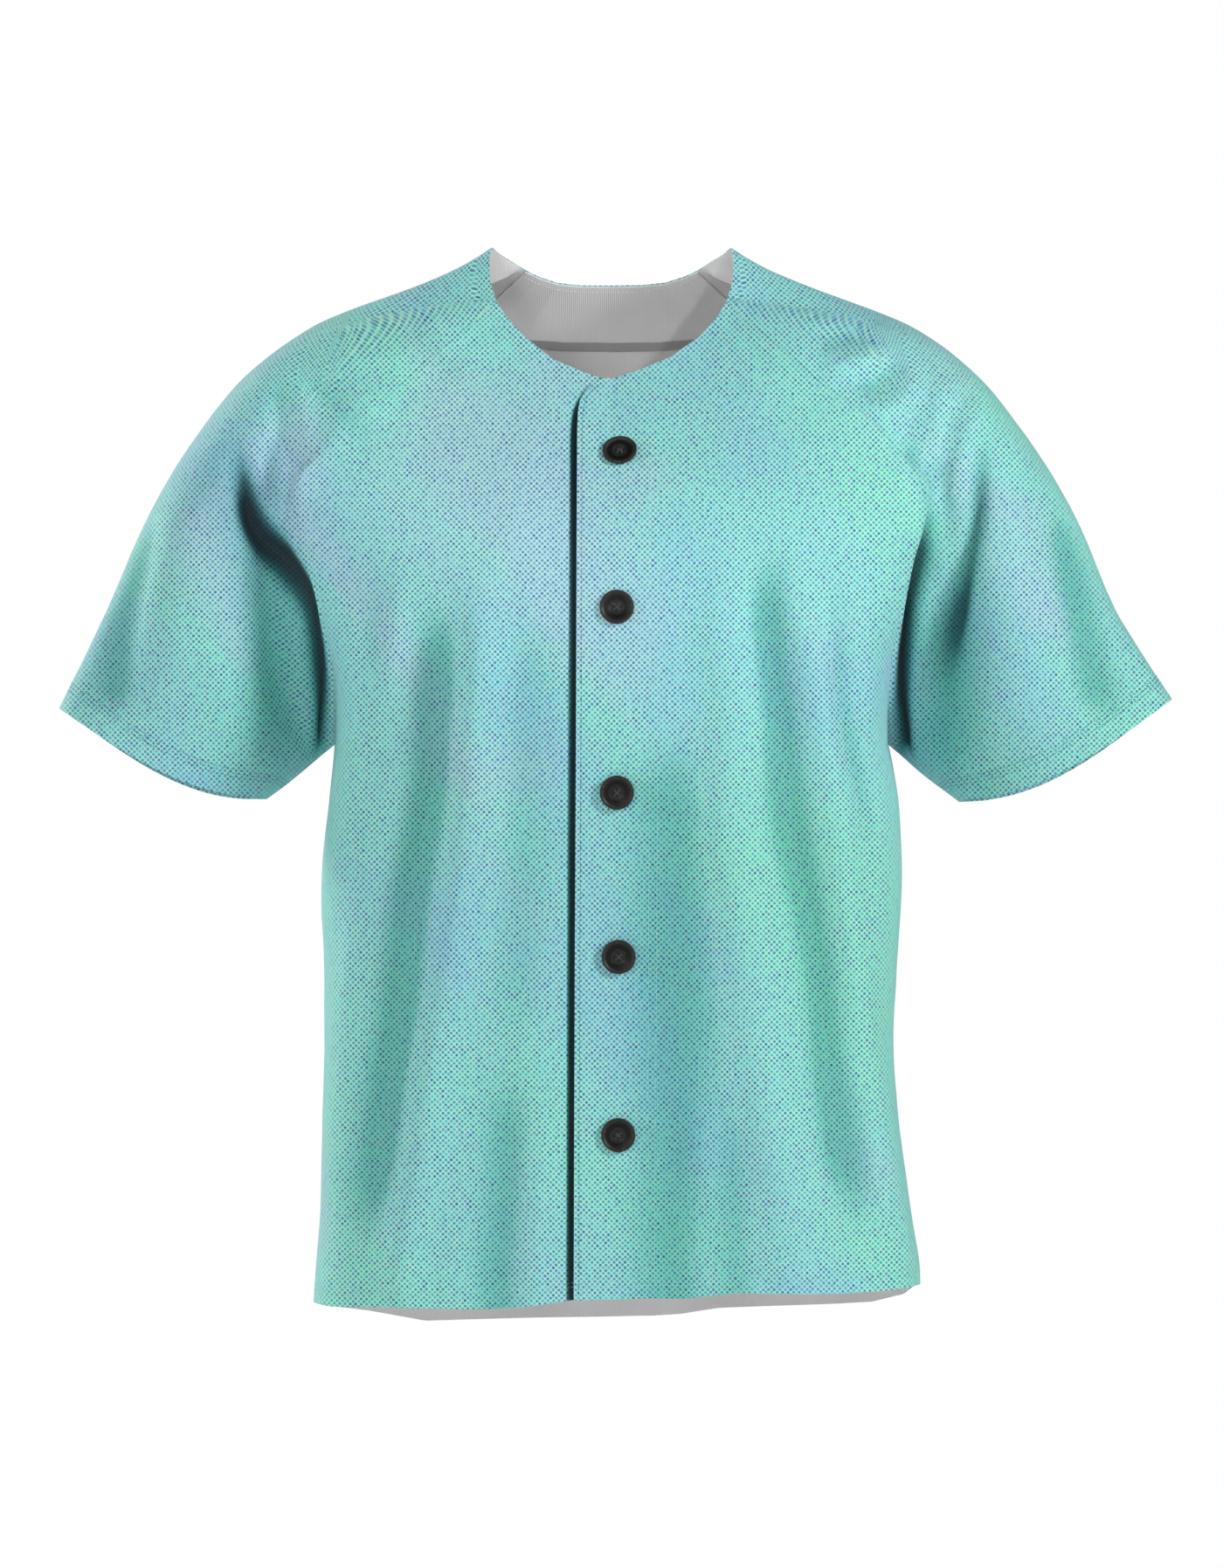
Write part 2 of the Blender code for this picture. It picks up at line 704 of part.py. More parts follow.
def make_buttons(panel, material):
    """Buttons on the outside of the upper lap, each square to the cloth under it."""
    grid = panel["grid"] * MM
    columns = grid.shape[1]
    faces = []
    for i in range(grid.shape[0] - 1):
        for j in range(columns - 1):
            faces.append((i * columns + j, i * columns + j + 1, (i + 1) * columns + j + 1, (i + 1) * columns + j))
    tree = BVHTree.FromPolygons(grid.reshape(-1, 3).tolist(), faces)
    forward = mathutils.Vector((0.0, 1.0, 0.0))
    for number, (x, z) in enumerate(BUTTONS, 1):
        at, normal, _, _ = tree.ray_cast(mathutils.Vector((x * MM, -1.0, z * MM)), forward)
        if normal.y > 0:
            normal = -normal
        right = mathutils.Vector((1.0, 0.0, 0.0))
        upward = normal.cross(right).normalized()
        right = upward.cross(normal).normalized()
        rise = 0.0
        for step in range(BUTTON_STEPS):
            angle = 2 * math.pi * step / BUTTON_STEPS
            rim = at + (right * math.cos(angle) + upward * math.sin(angle)) * BUTTON_RADIUS
            met, _, _, _ = tree.ray_cast(rim + normal * 0.05, -normal)
            rise = max(rise, (met - at).dot(normal))
        name = f"button_{number}"
        made = button_blank(name)
        made.data.materials.append(material)
        frame = mathutils.Matrix((right, upward, normal)).transposed().to_4x4()
        frame.translation = at + normal * (rise + BUTTON_SEAT)
        made.matrix_world = frame
        for hole, (along, up) in enumerate(((1, 1), (-1, 1), (-1, -1), (1, -1)), 1):
            offset = HOLE_OFFSET * BUTTON_RADIUS
            cutter = hole_cutter(f"{name}_hole_{hole}", along * offset, up * offset)
            cutter.matrix_world = frame @ cutter.matrix_basis
            cut = made.modifiers.new(f"hole_{hole}", "BOOLEAN")
            cut.operation = "DIFFERENCE"
            cut.solver = "EXACT"
            cut.object = cutter


def main():
    clear_scene()
    make_collections()
    cloth = {
        "front_right": make_material("right_front_cloth", (0.28, 0.62, 0.66, 1.0), 0.8),
        "front_left": make_material("left_front_cloth", (0.30, 0.64, 0.68, 1.0), 0.8),
        "back": make_material("back_cloth", (0.29, 0.61, 0.67, 1.0), 0.8),
        "sleeve_right": make_material("right_sleeve_cloth", (0.27, 0.60, 0.68, 1.0), 0.8),
        "sleeve_left": make_material("left_sleeve_cloth", (0.31, 0.62, 0.69, 1.0), 0.8),
    }
    facing_cloth = make_material("facing_cloth", (0.62, 0.63, 0.64, 1.0), 0.85)
    tape_cloth = make_material("tape_cloth", (0.70, 0.70, 0.70, 1.0), 0.8)
    plastic = make_material("button_plastic", (0.015, 0.015, 0.017, 1.0), 0.3)
    panels = make_panels()
    for name, panel in panels.items():
        outer = pulled_in(panel["grid"], panel["closed"])
        inner = outer - panel["normal"] * (WALL * panel["reach"])[..., None]
        shell(name, outer, inner, panel["closed"], panel["flip"], cloth[name])
    facing_and_tape(panels["back"], facing_cloth, tape_cloth)
    make_buttons(panels["front_left"], plastic)


main()
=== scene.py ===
"""Looks of a short-sleeved raglan jersey: printed knit panels, stitching, neck facing, buttons and a plain stage."""

import math

import bpy
import mathutils
import mathutils.kdtree
import numpy as np
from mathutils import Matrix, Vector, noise
from mathutils.bvhtree import BVHTree


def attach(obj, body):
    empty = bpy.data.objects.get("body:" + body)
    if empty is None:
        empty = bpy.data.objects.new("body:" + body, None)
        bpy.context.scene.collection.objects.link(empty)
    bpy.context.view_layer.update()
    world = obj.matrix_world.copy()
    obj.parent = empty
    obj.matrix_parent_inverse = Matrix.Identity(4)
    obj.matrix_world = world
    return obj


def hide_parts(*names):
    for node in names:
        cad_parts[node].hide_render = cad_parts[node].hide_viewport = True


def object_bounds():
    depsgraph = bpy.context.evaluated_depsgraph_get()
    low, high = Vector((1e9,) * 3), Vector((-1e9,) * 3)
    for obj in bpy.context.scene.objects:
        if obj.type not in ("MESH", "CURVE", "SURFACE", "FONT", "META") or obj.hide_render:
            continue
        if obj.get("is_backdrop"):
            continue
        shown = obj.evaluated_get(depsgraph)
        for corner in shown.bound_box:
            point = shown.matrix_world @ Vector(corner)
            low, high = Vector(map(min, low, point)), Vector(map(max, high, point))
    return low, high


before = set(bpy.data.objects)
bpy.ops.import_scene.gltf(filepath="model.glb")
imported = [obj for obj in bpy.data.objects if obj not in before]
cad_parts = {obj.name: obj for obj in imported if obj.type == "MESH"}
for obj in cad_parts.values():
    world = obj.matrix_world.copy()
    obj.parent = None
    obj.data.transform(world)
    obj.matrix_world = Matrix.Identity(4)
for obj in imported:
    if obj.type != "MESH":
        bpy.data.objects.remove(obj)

bl_info = {
    "name": "Baseball jersey",
    "version": (1, 0, 0),
    "blender": (4, 5, 0),
    "location": "View3D > Sidebar > Jersey",
    "description": "Builds a printed short-sleeved jersey with a buttoned front on its packed frame",
    "category": "Object",
}

CAD_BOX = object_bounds()
BODY = "root"
MM = 0.001

# Heights in mm, and the lap, where the lower front steps back under the upper one
HEM_MEAN_Z = -752.0
UNDERARM_Z = -356.0
UNDER_EDGE_X = 28.0
LAP_FADE_FROM = 34.0
LAP_FADE_TO = 64.0
LAP_SHIFT = 2.3
STEP_DROP = 4.7
STEP_WIDTH = 6.5

# Grids: columns under the lap and over its step, points of a fine line, mm within which edge points are one
STEP_COLUMNS = 12
UNDER_COLUMNS = 14
DENSE = 400
SAME_POINT = 0.01

# Sleeves: steps over half the neckline, lean of the hoops, dip at the neck, direction of the arm
NECK_STEPS = 12
STAND_LEAN = 0.4
NECK_DIP = 0.27
ARM_ACROSS = 0.40
ARM_DOWN = 0.9165

# Lengths in metres that set how many rows and columns a panel has
FRONT_WIDTH = 0.31
BACK_WIDTH = 0.56
SLEEVE_LENGTH = 0.36
SEAM_LENGTH = 0.37

# How far in mm the lines of folds wander, and how far up the raglan seam the facing starts
WANDER = 6.0
FACING_SHARE = 0.83

# Print: a grid that starts nearer the centre than this is a front, and the least width that cloth is taken to show
NEAR_CENTRE = 0.1
LEAST_SEEN = 0.5
FULL_TURN = 6.283

# Facing, tape and rows of stitches, in metres
FACING_WALL = 0.0008
TAPE_WALL = 0.0008
TAPE_WIDTH = 0.007
TAPE_ROWS = 5
TAPE_GAP = 0.0002
SEAM_ROWS = (0.0016, 0.0046)
HEM_ROWS = (0.0, 0.003)
FRONT_EDGE_ROW = 0.0037
NECK_ROW = 0.005
NECK_THREAD = 0.0009

# Button, in shares of its radius: height, then width and rise of each step from the rim inwards, and its holes
BUTTON_HEIGHT = 0.14
BUTTON_STEPS = ((0.035, 0.07), (0.06, 0.03), (0.05, -0.01), (0.07, -0.07), (0.10, -0.03), (0.22, -0.01), (0.05, -0.04))
BUTTON_ROUNDING = 0.012
HOLE_PLACE = 0.15
HOLE_SIDES = 20

# Thread of a button, in shares of the button's radius: how thick, long, high and far apart its strands are,
# how far their ends droop, and how far the upper ones rise where they cross
STRAND_RADIUS = 0.024
STRAND_LENGTH = 0.46
STRAND_HEIGHT = 0.17
STRAND_GAP = 0.035
STRAND_DROOP = 0.06
STRAND_RISE = 0.04

# Where the lights aim, and the narrow light into the neck: place, aim, degrees wide
LIGHT_AIM = (0.0, 0.0, -0.35)
NECK_LIGHT_PLACE = (1.4, -5.0, 0.6)
NECK_LIGHT_AIM = (-0.02, 0.10, -0.025)
NECK_LIGHT_WIDTH = 2.8

# Where the rows of the solid panels stand, as shares of the way from the underarm to the neckline
SOLID_ROWS = (0.0, 0.08, 0.16, 0.24, 0.32, 0.40, 0.48, 0.56, 0.64, 0.735, 0.83, 0.885, 0.935, 0.97, 1.0)
SOLID_AROUND = 34

# Torso below the underarms: height, half width at the wearer's right and left, front and back depth
TORSO = (
    (-772.0, 214.0, 220.5, -123.0, 119.0),
    (-735.0, 212.0, 220.0, -124.0, 117.0),
    (-698.0, 209.0, 214.0, -126.0, 114.0),
    (-648.0, 207.5, 207.5, -128.0, 112.0),
    (-573.0, 205.5, 201.5, -131.0, 111.0),
    (-523.0, 205.5, 204.0, -134.0, 112.0),
    (-436.0, 206.5, 207.5, -142.0, 119.0),
    (-396.0, 202.0, 205.0, -146.5, 123.5),
    (-356.0, 198.0, 198.0, -150.0, 128.0),
)
TORSO_ROUNDNESS = 2.45

# Centre front above the underarms: height, depth
FRONT_CENTRE = (
    (-356.0, -150.0),
    (-300.0, -155.0),
    (-250.0, -153.0),
    (-200.0, -141.0),
    (-170.0, -125.0),
    (-146.0, -107.0),
    (-120.0, -86.0),
    (-96.0, -66.0),
)

# Centre back above the underarms: height, depth
BACK_CENTRE = (
    (-356.0, 128.0),
    (-300.0, 136.0),
    (-250.0, 141.0),
    (-200.0, 142.0),
    (-150.0, 136.0),
    (-110.0, 124.0),
    (-75.0, 106.0),
    (-50.0, 89.0),
    (-25.2, 66.0),
)

# Raglan seams from the underarm to the neckline: across, depth, height
FRONT_RAGLAN = (
    (198.0, 0.0, -356.0),
    (197.5, -28.0, -325.0),
    (200.0, -51.0, -292.0),
    (207.0, -68.0, -260.0),
    (214.0, -82.0, -227.0),
    (221.0, -92.0, -198.0),
    (220.0, -96.0, -169.0),
    (205.0, -96.0, -149.0),
    (175.0, -91.0, -117.5),
    (150.6, -83.0, -101.0),
    (133.0, -74.0, -84.0),
    (107.5, -55.0, -63.0),
    (82.0, -28.0, -39.0),
)
BACK_RAGLAN = (
    (198.0, 0.0, -356.0),
    (205.0, 42.0, -312.0),
    (212.0, 76.0, -262.0),
    (210.0, 98.0, -215.0),
    (192.0, 112.0, -170.0),
    (160.0, 114.0, -122.0),
    (125.0, 104.0, -78.0),
    (90.0, 80.0, -40.0),
    (62.0, 46.0, -14.5),
)

# How each row above the underarms turns towards the seam: share of the way up, turn in degrees, roundness
FRONT_TURN = (
    (0.0, 90.0, 2.45),
    (0.1, 86.0, 2.4),
    (0.2, 78.0, 2.35),
    (0.3, 70.0, 2.3),
    (0.4, 60.0, 2.2),
    (0.5, 52.0, 2.1),
    (0.7, 46.0, 2.0),
    (0.85, 52.0, 2.0),
    (1.0, 70.0, 2.0),
)
BACK_TURN = (
    (0.0, 90.0, 2.45),
    (0.15, 80.0, 2.4),
    (0.3, 66.0, 2.3),
    (0.5, 54.0, 2.1),
    (0.7, 48.0, 2.0),
    (0.85, 52.0, 2.0),
    (1.0, 66.0, 2.0),
)

# Neckline drop from the centre to the raglan seam: share across, share of the rise
FRONT_NECK_RISE = (
    (0.0, 0.0),
    (0.207, 0.09),
    (0.518, 0.281),
    (0.762, 0.544),
    (0.93, 0.82),
    (1.0, 1.0),
)
BACK_NECK_RISE = (
    (0.0, 0.0),
    (0.35, 0.03),
    (0.63, 0.2),
    (0.85, 0.6),
    (1.0, 1.0),
)

# Neckline over the sleeve, from the front raglan seam to the back one: across, depth, height
SLEEVE_NECK = (
    (82.0, -28.0, -39.0),
    (86.5, -16.0, -25.0),
    (87.5, -4.0, -11.0),
    (86.0, 9.0, 0.0),
    (80.0, 24.0, -4.0),
    (72.0, 36.0, -8.5),
    (62.0, 46.0, -14.5),
)

# Hems: across, height
FRONT_HEM = (
    (-213.5, -754.5),
    (-200.0, -756.0),
    (-160.0, -755.0),
    (-92.0, -756.0),
    (-66.0, -754.5),
    (-29.0, -749.5),
    (27.0, -748.0),
    (51.0, -748.5),
    (89.0, -744.5),
    (163.0, -745.5),
    (195.0, -744.0),
    (220.5, -741.5),
)
BACK_HEM = (
    (-213.5, -754.5),
    (-200.0, -760.0),
    (-175.0, -764.0),
    (-135.0, -772.0),
    (-28.0, -770.0),
    (29.0, -769.0),
    (51.0, -767.5),
    (77.0, -763.5),
    (163.0, -759.5),
    (187.0, -757.5),
    (210.0, -751.0),
    (220.5, -741.5),
)

# Front edge of the upper lap: height, across
OVER_EDGE = (
    (-757.0, -26.9),
    (-500.0, -26.0),
    (-300.0, -25.0),
    (-137.0, -24.4),
    (-124.0, -23.8),
    (-117.5, -22.6),
    (-111.0, -19.5),
    (-105.0, -15.0),
    (-99.5, -9.0),
    (-96.0, -3.0),
)

# Sleeve hoops: share of the length, bottom across and height, top across and height,
# depth at front and back, how far the depth leans to the bottom, how far the front and the back stand on along the arm
SLEEVE_HOOPS = (
    (0.28, 209.0, -365.0, 222.0, -61.5, -72.0, 82.0, -0.3, 28.0, 28.0),
    (0.42, 217.0, -372.0, 266.0, -96.5, -80.0, 84.0, -0.12, 26.0, 26.0),
    (0.56, 223.5, -377.5, 305.5, -148.0, -79.0, 82.0, -0.05, 21.0, 21.0),
    (0.70, 230.5, -383.0, 334.0, -198.0, -73.0, 76.0, 0.0, 16.0, 16.0),
    (0.85, 238.5, -389.0, 361.5, -261.0, -62.0, 65.0, 0.0, 13.0, 14.0),
)
CUFF_RIGHT = (1.0, 247.0, -395.0, 395.0, -330.0, -52.0, 54.0, 0.0, 11.5, 15.0)
CUFF_LEFT = (1.0, 249.0, -397.0, 401.0, -323.5, -52.0, 54.0, 0.0, 11.5, 15.0)

# Where each seam point meets the hoops: share of the way up the raglan seam, degrees round from the bottom
SEAM_ANGLE = (
    (0.0, 0.0),
    (0.1, 21.0),
    (0.2, 42.0),
    (0.3, 60.0),
    (0.45, 85.0),
    (0.6, 108.0),
    (0.72, 127.0),
    (0.87, 147.0),
    (1.0, 162.0),
)
# Share of even spacing round each hoop, from the first one to the cuff
EVEN_SPACING = (0.0, 0.14, 0.27, 0.41, 0.56, 0.7)

# Share of painted shade that darkens the colour in a fold, and depth in mm of a hollow that gets the darkest painted
# shade
FOLD_PAINTED_SHADE = 0.34
HOLLOW_FULL_SHADE_DEPTH = 15.5

# Folds that hang down the body: side faced, half width, how far out, then heights and places across
HANGING = (
    (-1, 15.0, 9.0, (-226.0, -92.0), (-316.0, -95.0), (-400.0, -101.0), (-500.0, -113.0), (-600.0, -128.0),
     (-690.0, -142.0), (-800.0, -152.0)),
    (-1, 18.0, -8.5, (-236.0, -122.0), (-316.0, -124.0), (-400.0, -131.0), (-500.0, -146.0), (-600.0, -162.0),
     (-730.0, -182.0)),
    (-1, 12.0, 4.5, (-236.0, -150.0), (-350.0, -156.0), (-460.0, -172.0), (-580.0, -188.0)),
    (-1, 22.0, -3.0, (-236.0, -60.0), (-400.0, -62.0), (-600.0, -72.0)),
    (-1, 19.0, -5.5, (-560.0, -68.0), (-650.0, -76.0), (-840.0, -82.0)),
    (-1, 13.0, 3.0, (-590.0, -50.0), (-810.0, -52.0)),
    (-1, 8.0, -3.4, (-206.0, -165.0), (-345.0, -171.0)),
    (-1, 8.0, 3.0, (-206.0, -149.0), (-340.0, -154.0)),
    (-1, 18.0, 7.5, (-206.0, 80.0), (-400.0, 84.0), (-500.0, 91.0), (-620.0, 108.0), (-700.0, 124.0), (-810.0, 134.0)),
    (-1, 17.0, -8.0, (-196.0, 110.0), (-316.0, 118.0), (-400.0, 129.0), (-500.0, 147.0), (-600.0, 163.0),
     (-720.0, 180.0)),
    (-1, 13.0, 7.0, (-226.0, 134.0), (-350.0, 147.0), (-430.0, 158.0), (-500.0, 169.0), (-620.0, 184.0)),
    (-1, 9.0, -4.0, (-220.0, 156.0), (-340.0, 170.0), (-460.0, 184.0)),
    (-1, 10.0, 3.6, (-225.0, 173.0), (-370.0, 190.0)),
    (-1, 36.0, -6.5, (-330.0, 38.0), (-540.0, 44.0), (-840.0, 50.0)),
    (-1, 12.0, -3.0, (-580.0, 86.0), (-810.0, 94.0)),
    (-1, 11.0, 2.0, (-560.0, 62.0), (-800.0, 66.0)),
    (-1, 20.0, 2.5, (-560.0, 205.0), (-780.0, 214.0)),
    (1, 28.0, -6.0, (-230.0, -105.0), (-420.0, -112.0), (-660.0, -122.0)),
    (1, 26.0, 6.0, (-310.0, -52.0), (-560.0, -58.0), (-790.0, -62.0)),
    (1, 22.0, -4.0, (-250.0, 18.0), (-420.0, 10.0), (-580.0, 12.0)),
    (1, 26.0, 6.5, (-290.0, 70.0), (-560.0, 82.0), (-790.0, 90.0)),
    (1, 24.0, -6.5, (-220.0, 128.0), (-420.0, 130.0), (-620.0, 138.0)),
    (1, 22.0, 5.0, (-500.0, 165.0), (-790.0, 174.0)),
    (1, 15.0, 2.6, (-360.0, -182.0), (-620.0, -188.0)),
    (1, 16.0, 3.0, (-580.0, -150.0), (-790.0, -164.0)),
    (1, 15.0, -3.2, (-590.0, -18.0), (-790.0, -14.0)),
    (1, 12.0, -2.8, (-630.0, 42.0), (-790.0, 44.0)),
    (1, 14.0, -2.4, (-320.0, 190.0), (-500.0, 186.0)),
)

# Shorter folds and creases: side faced, start across and height, end across and height, half width, how far out
CREASES = (
    (-1, 150.0, -95.0, 196.0, -76.0, 9.0, 4.2),
    (-1, 143.0, -75.0, 188.0, -56.0, 9.0, -3.2),
    (-1, 184.0, -127.0, 224.0, -98.0, 9.0, 4.4),
    (-1, 173.0, -107.0, 212.0, -80.0, 8.0, -3.4),
    (-1, 237.0, -92.0, 235.0, -156.0, 7.0, 3.2),
    (-1, 220.0, -96.0, 217.0, -158.0, 7.0, -2.8),
    (-1, 260.0, -112.0, 243.0, -184.0, 7.0, 3.2),
    (-1, 244.0, -112.0, 227.0, -186.0, 7.0, -3.0),
    (-1, -241.0, -98.0, -237.0, -150.0, 7.0, -2.6),
    (-1, -223.0, -98.0, -219.0, -156.0, 7.0, 2.8),
    (-1, -247.0, -142.0, -239.0, -190.0, 7.0, -3.0),
    (-1, -229.0, -148.0, -219.0, -190.0, 7.0, 3.0),
    (-1, -205.0, -84.0, -158.0, -128.0, 11.0, 2.4),
    (-1, -224.0, -92.0, -172.0, -142.0, 10.0, -2.6),
    (-1, -146.0, -44.0, -104.0, -92.0, 10.0, -1.8),
    (-1, -128.0, -40.0, -88.0, -84.0, 10.0, 1.5),
    (-1, 60.0, -66.0, 110.0, -44.0, 10.0, -1.0),
    (-1, 322.0, -180.0, 352.0, -340.0, 19.0, -6.0),
    (-1, 352.0, -205.0, 388.0, -325.0, 14.0, 3.0),
    (-1, 284.0, -180.0, 298.0, -372.0, 22.0, 4.0),
    (-1, -300.0, -175.0, -322.0, -350.0, 19.0, 5.0),
    (-1, -332.0, -190.0, -360.0, -335.0, 16.0, -6.5),
    (-1, -60.0, -180.0, -92.0, -250.0, 16.0, 1.2),
    (-1, 205.0, -135.0, 226.0, -176.0, 8.0, -1.8),
    (-1, 196.0, -150.0, 214.0, -190.0, 8.0, 1.4),
    (1, -180.0, -150.0, -150.0, -240.0, 14.0, -2.0),
    (1, 178.0, -150.0, 152.0, -250.0, 14.0, -2.0),
    (1, -30.0, -120.0, -20.0, -260.0, 20.0, -2.0),
    (1, 60.0, -110.0, 84.0, -210.0, 16.0, 1.8),
    (1, 245.0, -130.0, 232.0, -250.0, 18.0, -7.0),
    (1, 300.0, -180.0, 330.0, -330.0, 20.0, -5.0),
    (1, -242.0, -125.0, -230.0, -240.0, 18.0, -7.0),
    (1, -296.0, -170.0, -322.0, -325.0, 20.0, -5.0),
    (1, 262.0, -140.0, 256.0, -260.0, 10.0, 2.4),
    (1, 282.0, -240.0, 290.0, -370.0, 14.0, 2.2),
    (1, -262.0, -140.0, -256.0, -260.0, 10.0, 2.4),
    (1, -280.0, -240.0, -292.0, -370.0, 14.0, 2.2),
)

# Hollows where a sleeve dives behind the body, from the seam outwards: heights, places across, half width, depth
HOLLOWS = {
    "sleeve_right": (
        (30.0, 5.5, (-120.0, -268.0), (-205.0, -256.0), (-250.0, -246.0), (-300.0, -238.0), (-430.0, -238.0)),
        (9.0, 12.0, (-122.0, -271.0), (-160.0, -265.0), (-206.0, -248.0), (-234.0, -230.0), (-261.0, -215.0),
         (-305.0, -205.0), (-420.0, -192.0)),
    ),
    "sleeve_left": (
        (8.0, 13.0, (-160.0, 236.0), (-200.0, 229.0), (-230.0, 221.0), (-260.0, 212.0), (-300.0, 206.0),
         (-420.0, 202.0)),
        (7.0, 8.0, (-110.0, 267.0), (-200.0, 258.0), (-240.0, 249.0), (-330.0, 230.0)),
        (26.0, 5.5, (-210.0, 238.0), (-300.0, 234.0), (-430.0, 240.0)),
    ),
}

# Inner stitch row of the front facing, from the shoulder down: across, height
FACING_ROW = (
    (133.0, -29.0),
    (136.5, -42.0),
    (135.6, -53.0),
    (132.0, -66.0),
    (129.0, -73.5),
    (115.6, -88.0),
    (95.0, -103.5),
    (84.0, -111.5),
    (67.0, -121.0),
    (52.0, -131.0),
    (41.0, -141.5),
    (35.0, -153.0),
    (31.0, -167.0),
    (30.0, -190.0),
    (29.5, -400.0),
    (27.5, -746.0),
)
UNDER_FACING_ROW = tuple((-x, z) for x, z in FACING_ROW[:9]) + ((-52.0, -132.0), (-41.0, -144.0), (-34.0, -160.0))

# Studio lights: name, place, width, power
LIGHTS = (
    ("key", (5.8, -3.8, 2.4), 1.6, 400.0),
    ("fill", (-6.2, -2.6, 0.8), 2.4, 150.0),
    ("front", (-2.6, -7.6, 1.2), 2.0, 150.0),
    ("behind", (-4.2, 4.6, 2.6), 1.8, 260.0),
)


class JerseyCloth(bpy.types.PropertyGroup):
    spacing: bpy.props.FloatProperty(
        name="Mesh spacing", description="Distance between points of a panel", default=0.0036, unit="LENGTH"
    )
    wall: bpy.props.FloatProperty(
        name="Cloth thickness", description="Thickness of the knit", default=0.0012, unit="LENGTH"
    )
    cuff_turn: bpy.props.FloatProperty(
        name="Turned cuff", description="Depth of printed cloth turned inside a cuff", default=0.025, unit="LENGTH"
    )
    seam_gap: bpy.props.FloatProperty(
        name="Seam gap", description="Distance between two panels at a seam", default=0.0003, unit="LENGTH"
    )
    dot_pitch: bpy.props.FloatProperty(
        name="Dot pitch", description="Distance from one printed dot to the next", default=0.00276, unit="LENGTH"
    )
    dot_size: bpy.props.FloatProperty(
        name="Dot width", description="Width of a printed dot", default=0.00188, unit="LENGTH"
    )
    mint: bpy.props.FloatVectorProperty(
        name="Mint", description="Green part of the print", subtype="COLOR", size=3, default=(0.235, 0.73, 0.54)
    )
    aqua: bpy.props.FloatVectorProperty(
        name="Aqua", description="Main colour of the print", subtype="COLOR", size=3, default=(0.25, 0.7, 0.61)
    )
    sky: bpy.props.FloatVectorProperty(
        name="Sky", description="Blue part of the print", subtype="COLOR", size=3, default=(0.245, 0.58, 0.66)
    )
    lilac: bpy.props.FloatVectorProperty(
        name="Lilac", description="Violet part of the print", subtype="COLOR", size=3, default=(0.4, 0.55, 0.68)
    )
    dots: bpy.props.FloatVectorProperty(
        name="Dots", description="Colour of the printed dots", subtype="COLOR", size=3, default=(0.01, 0.115, 0.29)
    )
    wrong_side: bpy.props.FloatVectorProperty(
        name="Wrong side", description="Colour of the unprinted inside", subtype="COLOR", size=3,
        default=(0.86, 0.855, 0.855),
    )


class JerseyStitches(bpy.types.PropertyGroup):
    pitch: bpy.props.FloatProperty(
        name="Stitch pitch", description="Length of one stitch and its gap", default=0.0031, unit="LENGTH"
    )
    thread: bpy.props.FloatProperty(
        name="Thread width", description="Width of the sewing thread", default=0.0005, unit="LENGTH"
    )
    row_gap: bpy.props.FloatProperty(
        name="Row distance", description="Distance between twin rows", default=0.0056, unit="LENGTH"
    )
    hem_depth: bpy.props.FloatProperty(
        name="Hem depth", description="Height of the hem stitching above the edge", default=0.0095, unit="LENGTH"
    )
    cuff_depth: bpy.props.FloatProperty(
        name="Cuff depth", description="Distance of the cuff stitching from the edge", default=0.0145, unit="LENGTH"
    )
    colour: bpy.props.FloatVectorProperty(
        name="Thread", description="Colour of the thread", subtype="COLOR", size=3, default=(0.36, 0.72, 0.70)
    )


class JerseyButtons(bpy.types.PropertyGroup):
    radius: bpy.props.FloatProperty(
        name="Button radius", description="Half the width of a button", default=0.0121, unit="LENGTH"
    )
    hole: bpy.props.FloatProperty(
        name="Hole radius", description="Half the width of a sewing hole", default=0.0009, unit="LENGTH"
    )
    steps: bpy.props.IntProperty(name="Steps", description="Faces round a button", default=64)
    colour: bpy.props.FloatVectorProperty(
        name="Button", description="Colour of the plastic", subtype="COLOR", size=3, default=(0.022, 0.021, 0.02)
    )


class JerseyStage(bpy.types.PropertyGroup):
    distance: bpy.props.FloatProperty(
        name="Camera distance", description="Distance of the camera from the jersey", default=10.0, unit="LENGTH"
    )
    height: bpy.props.FloatProperty(
        name="View height", description="Height of the picture at the jersey", default=1.121875, unit="LENGTH"
    )
    aim: bpy.props.FloatProperty(
        name="Aim", description="Height of the camera", default=-0.3841, unit="LENGTH"
    )
    floor: bpy.props.FloatProperty(
        name="Floor", description="Height of the floor", default=-1.5, unit="LENGTH"
    )
    ambient: bpy.props.FloatProperty(
        name="Ambient", description="Strength of the light from all round", default=0.12
    )
    neck_power: bpy.props.FloatProperty(
        name="Neck light", description="Power of the narrow light aimed into the neck", default=2500.0, unit="POWER"
    )


def unit(vectors):
    return vectors / np.linalg.norm(vectors, axis=-1, keepdims=True)


def linked(name, data):
    """New object with this data, in the scene."""
    made = bpy.data.objects.new(name, data)
    bpy.context.scene.collection.objects.link(made)
    return made


def cubic(low, high, low_slope, high_slope, span, share):
    """Value at a share of the way along one span of a smooth curve."""
    return (
        low * (2 * share**3 - 3 * share**2 + 1)
        + high * (3 * share**2 - 2 * share**3)
        + low_slope * span * (share**3 - 2 * share**2 + share)
        + high_slope * span * (share**3 - share**2)
    )


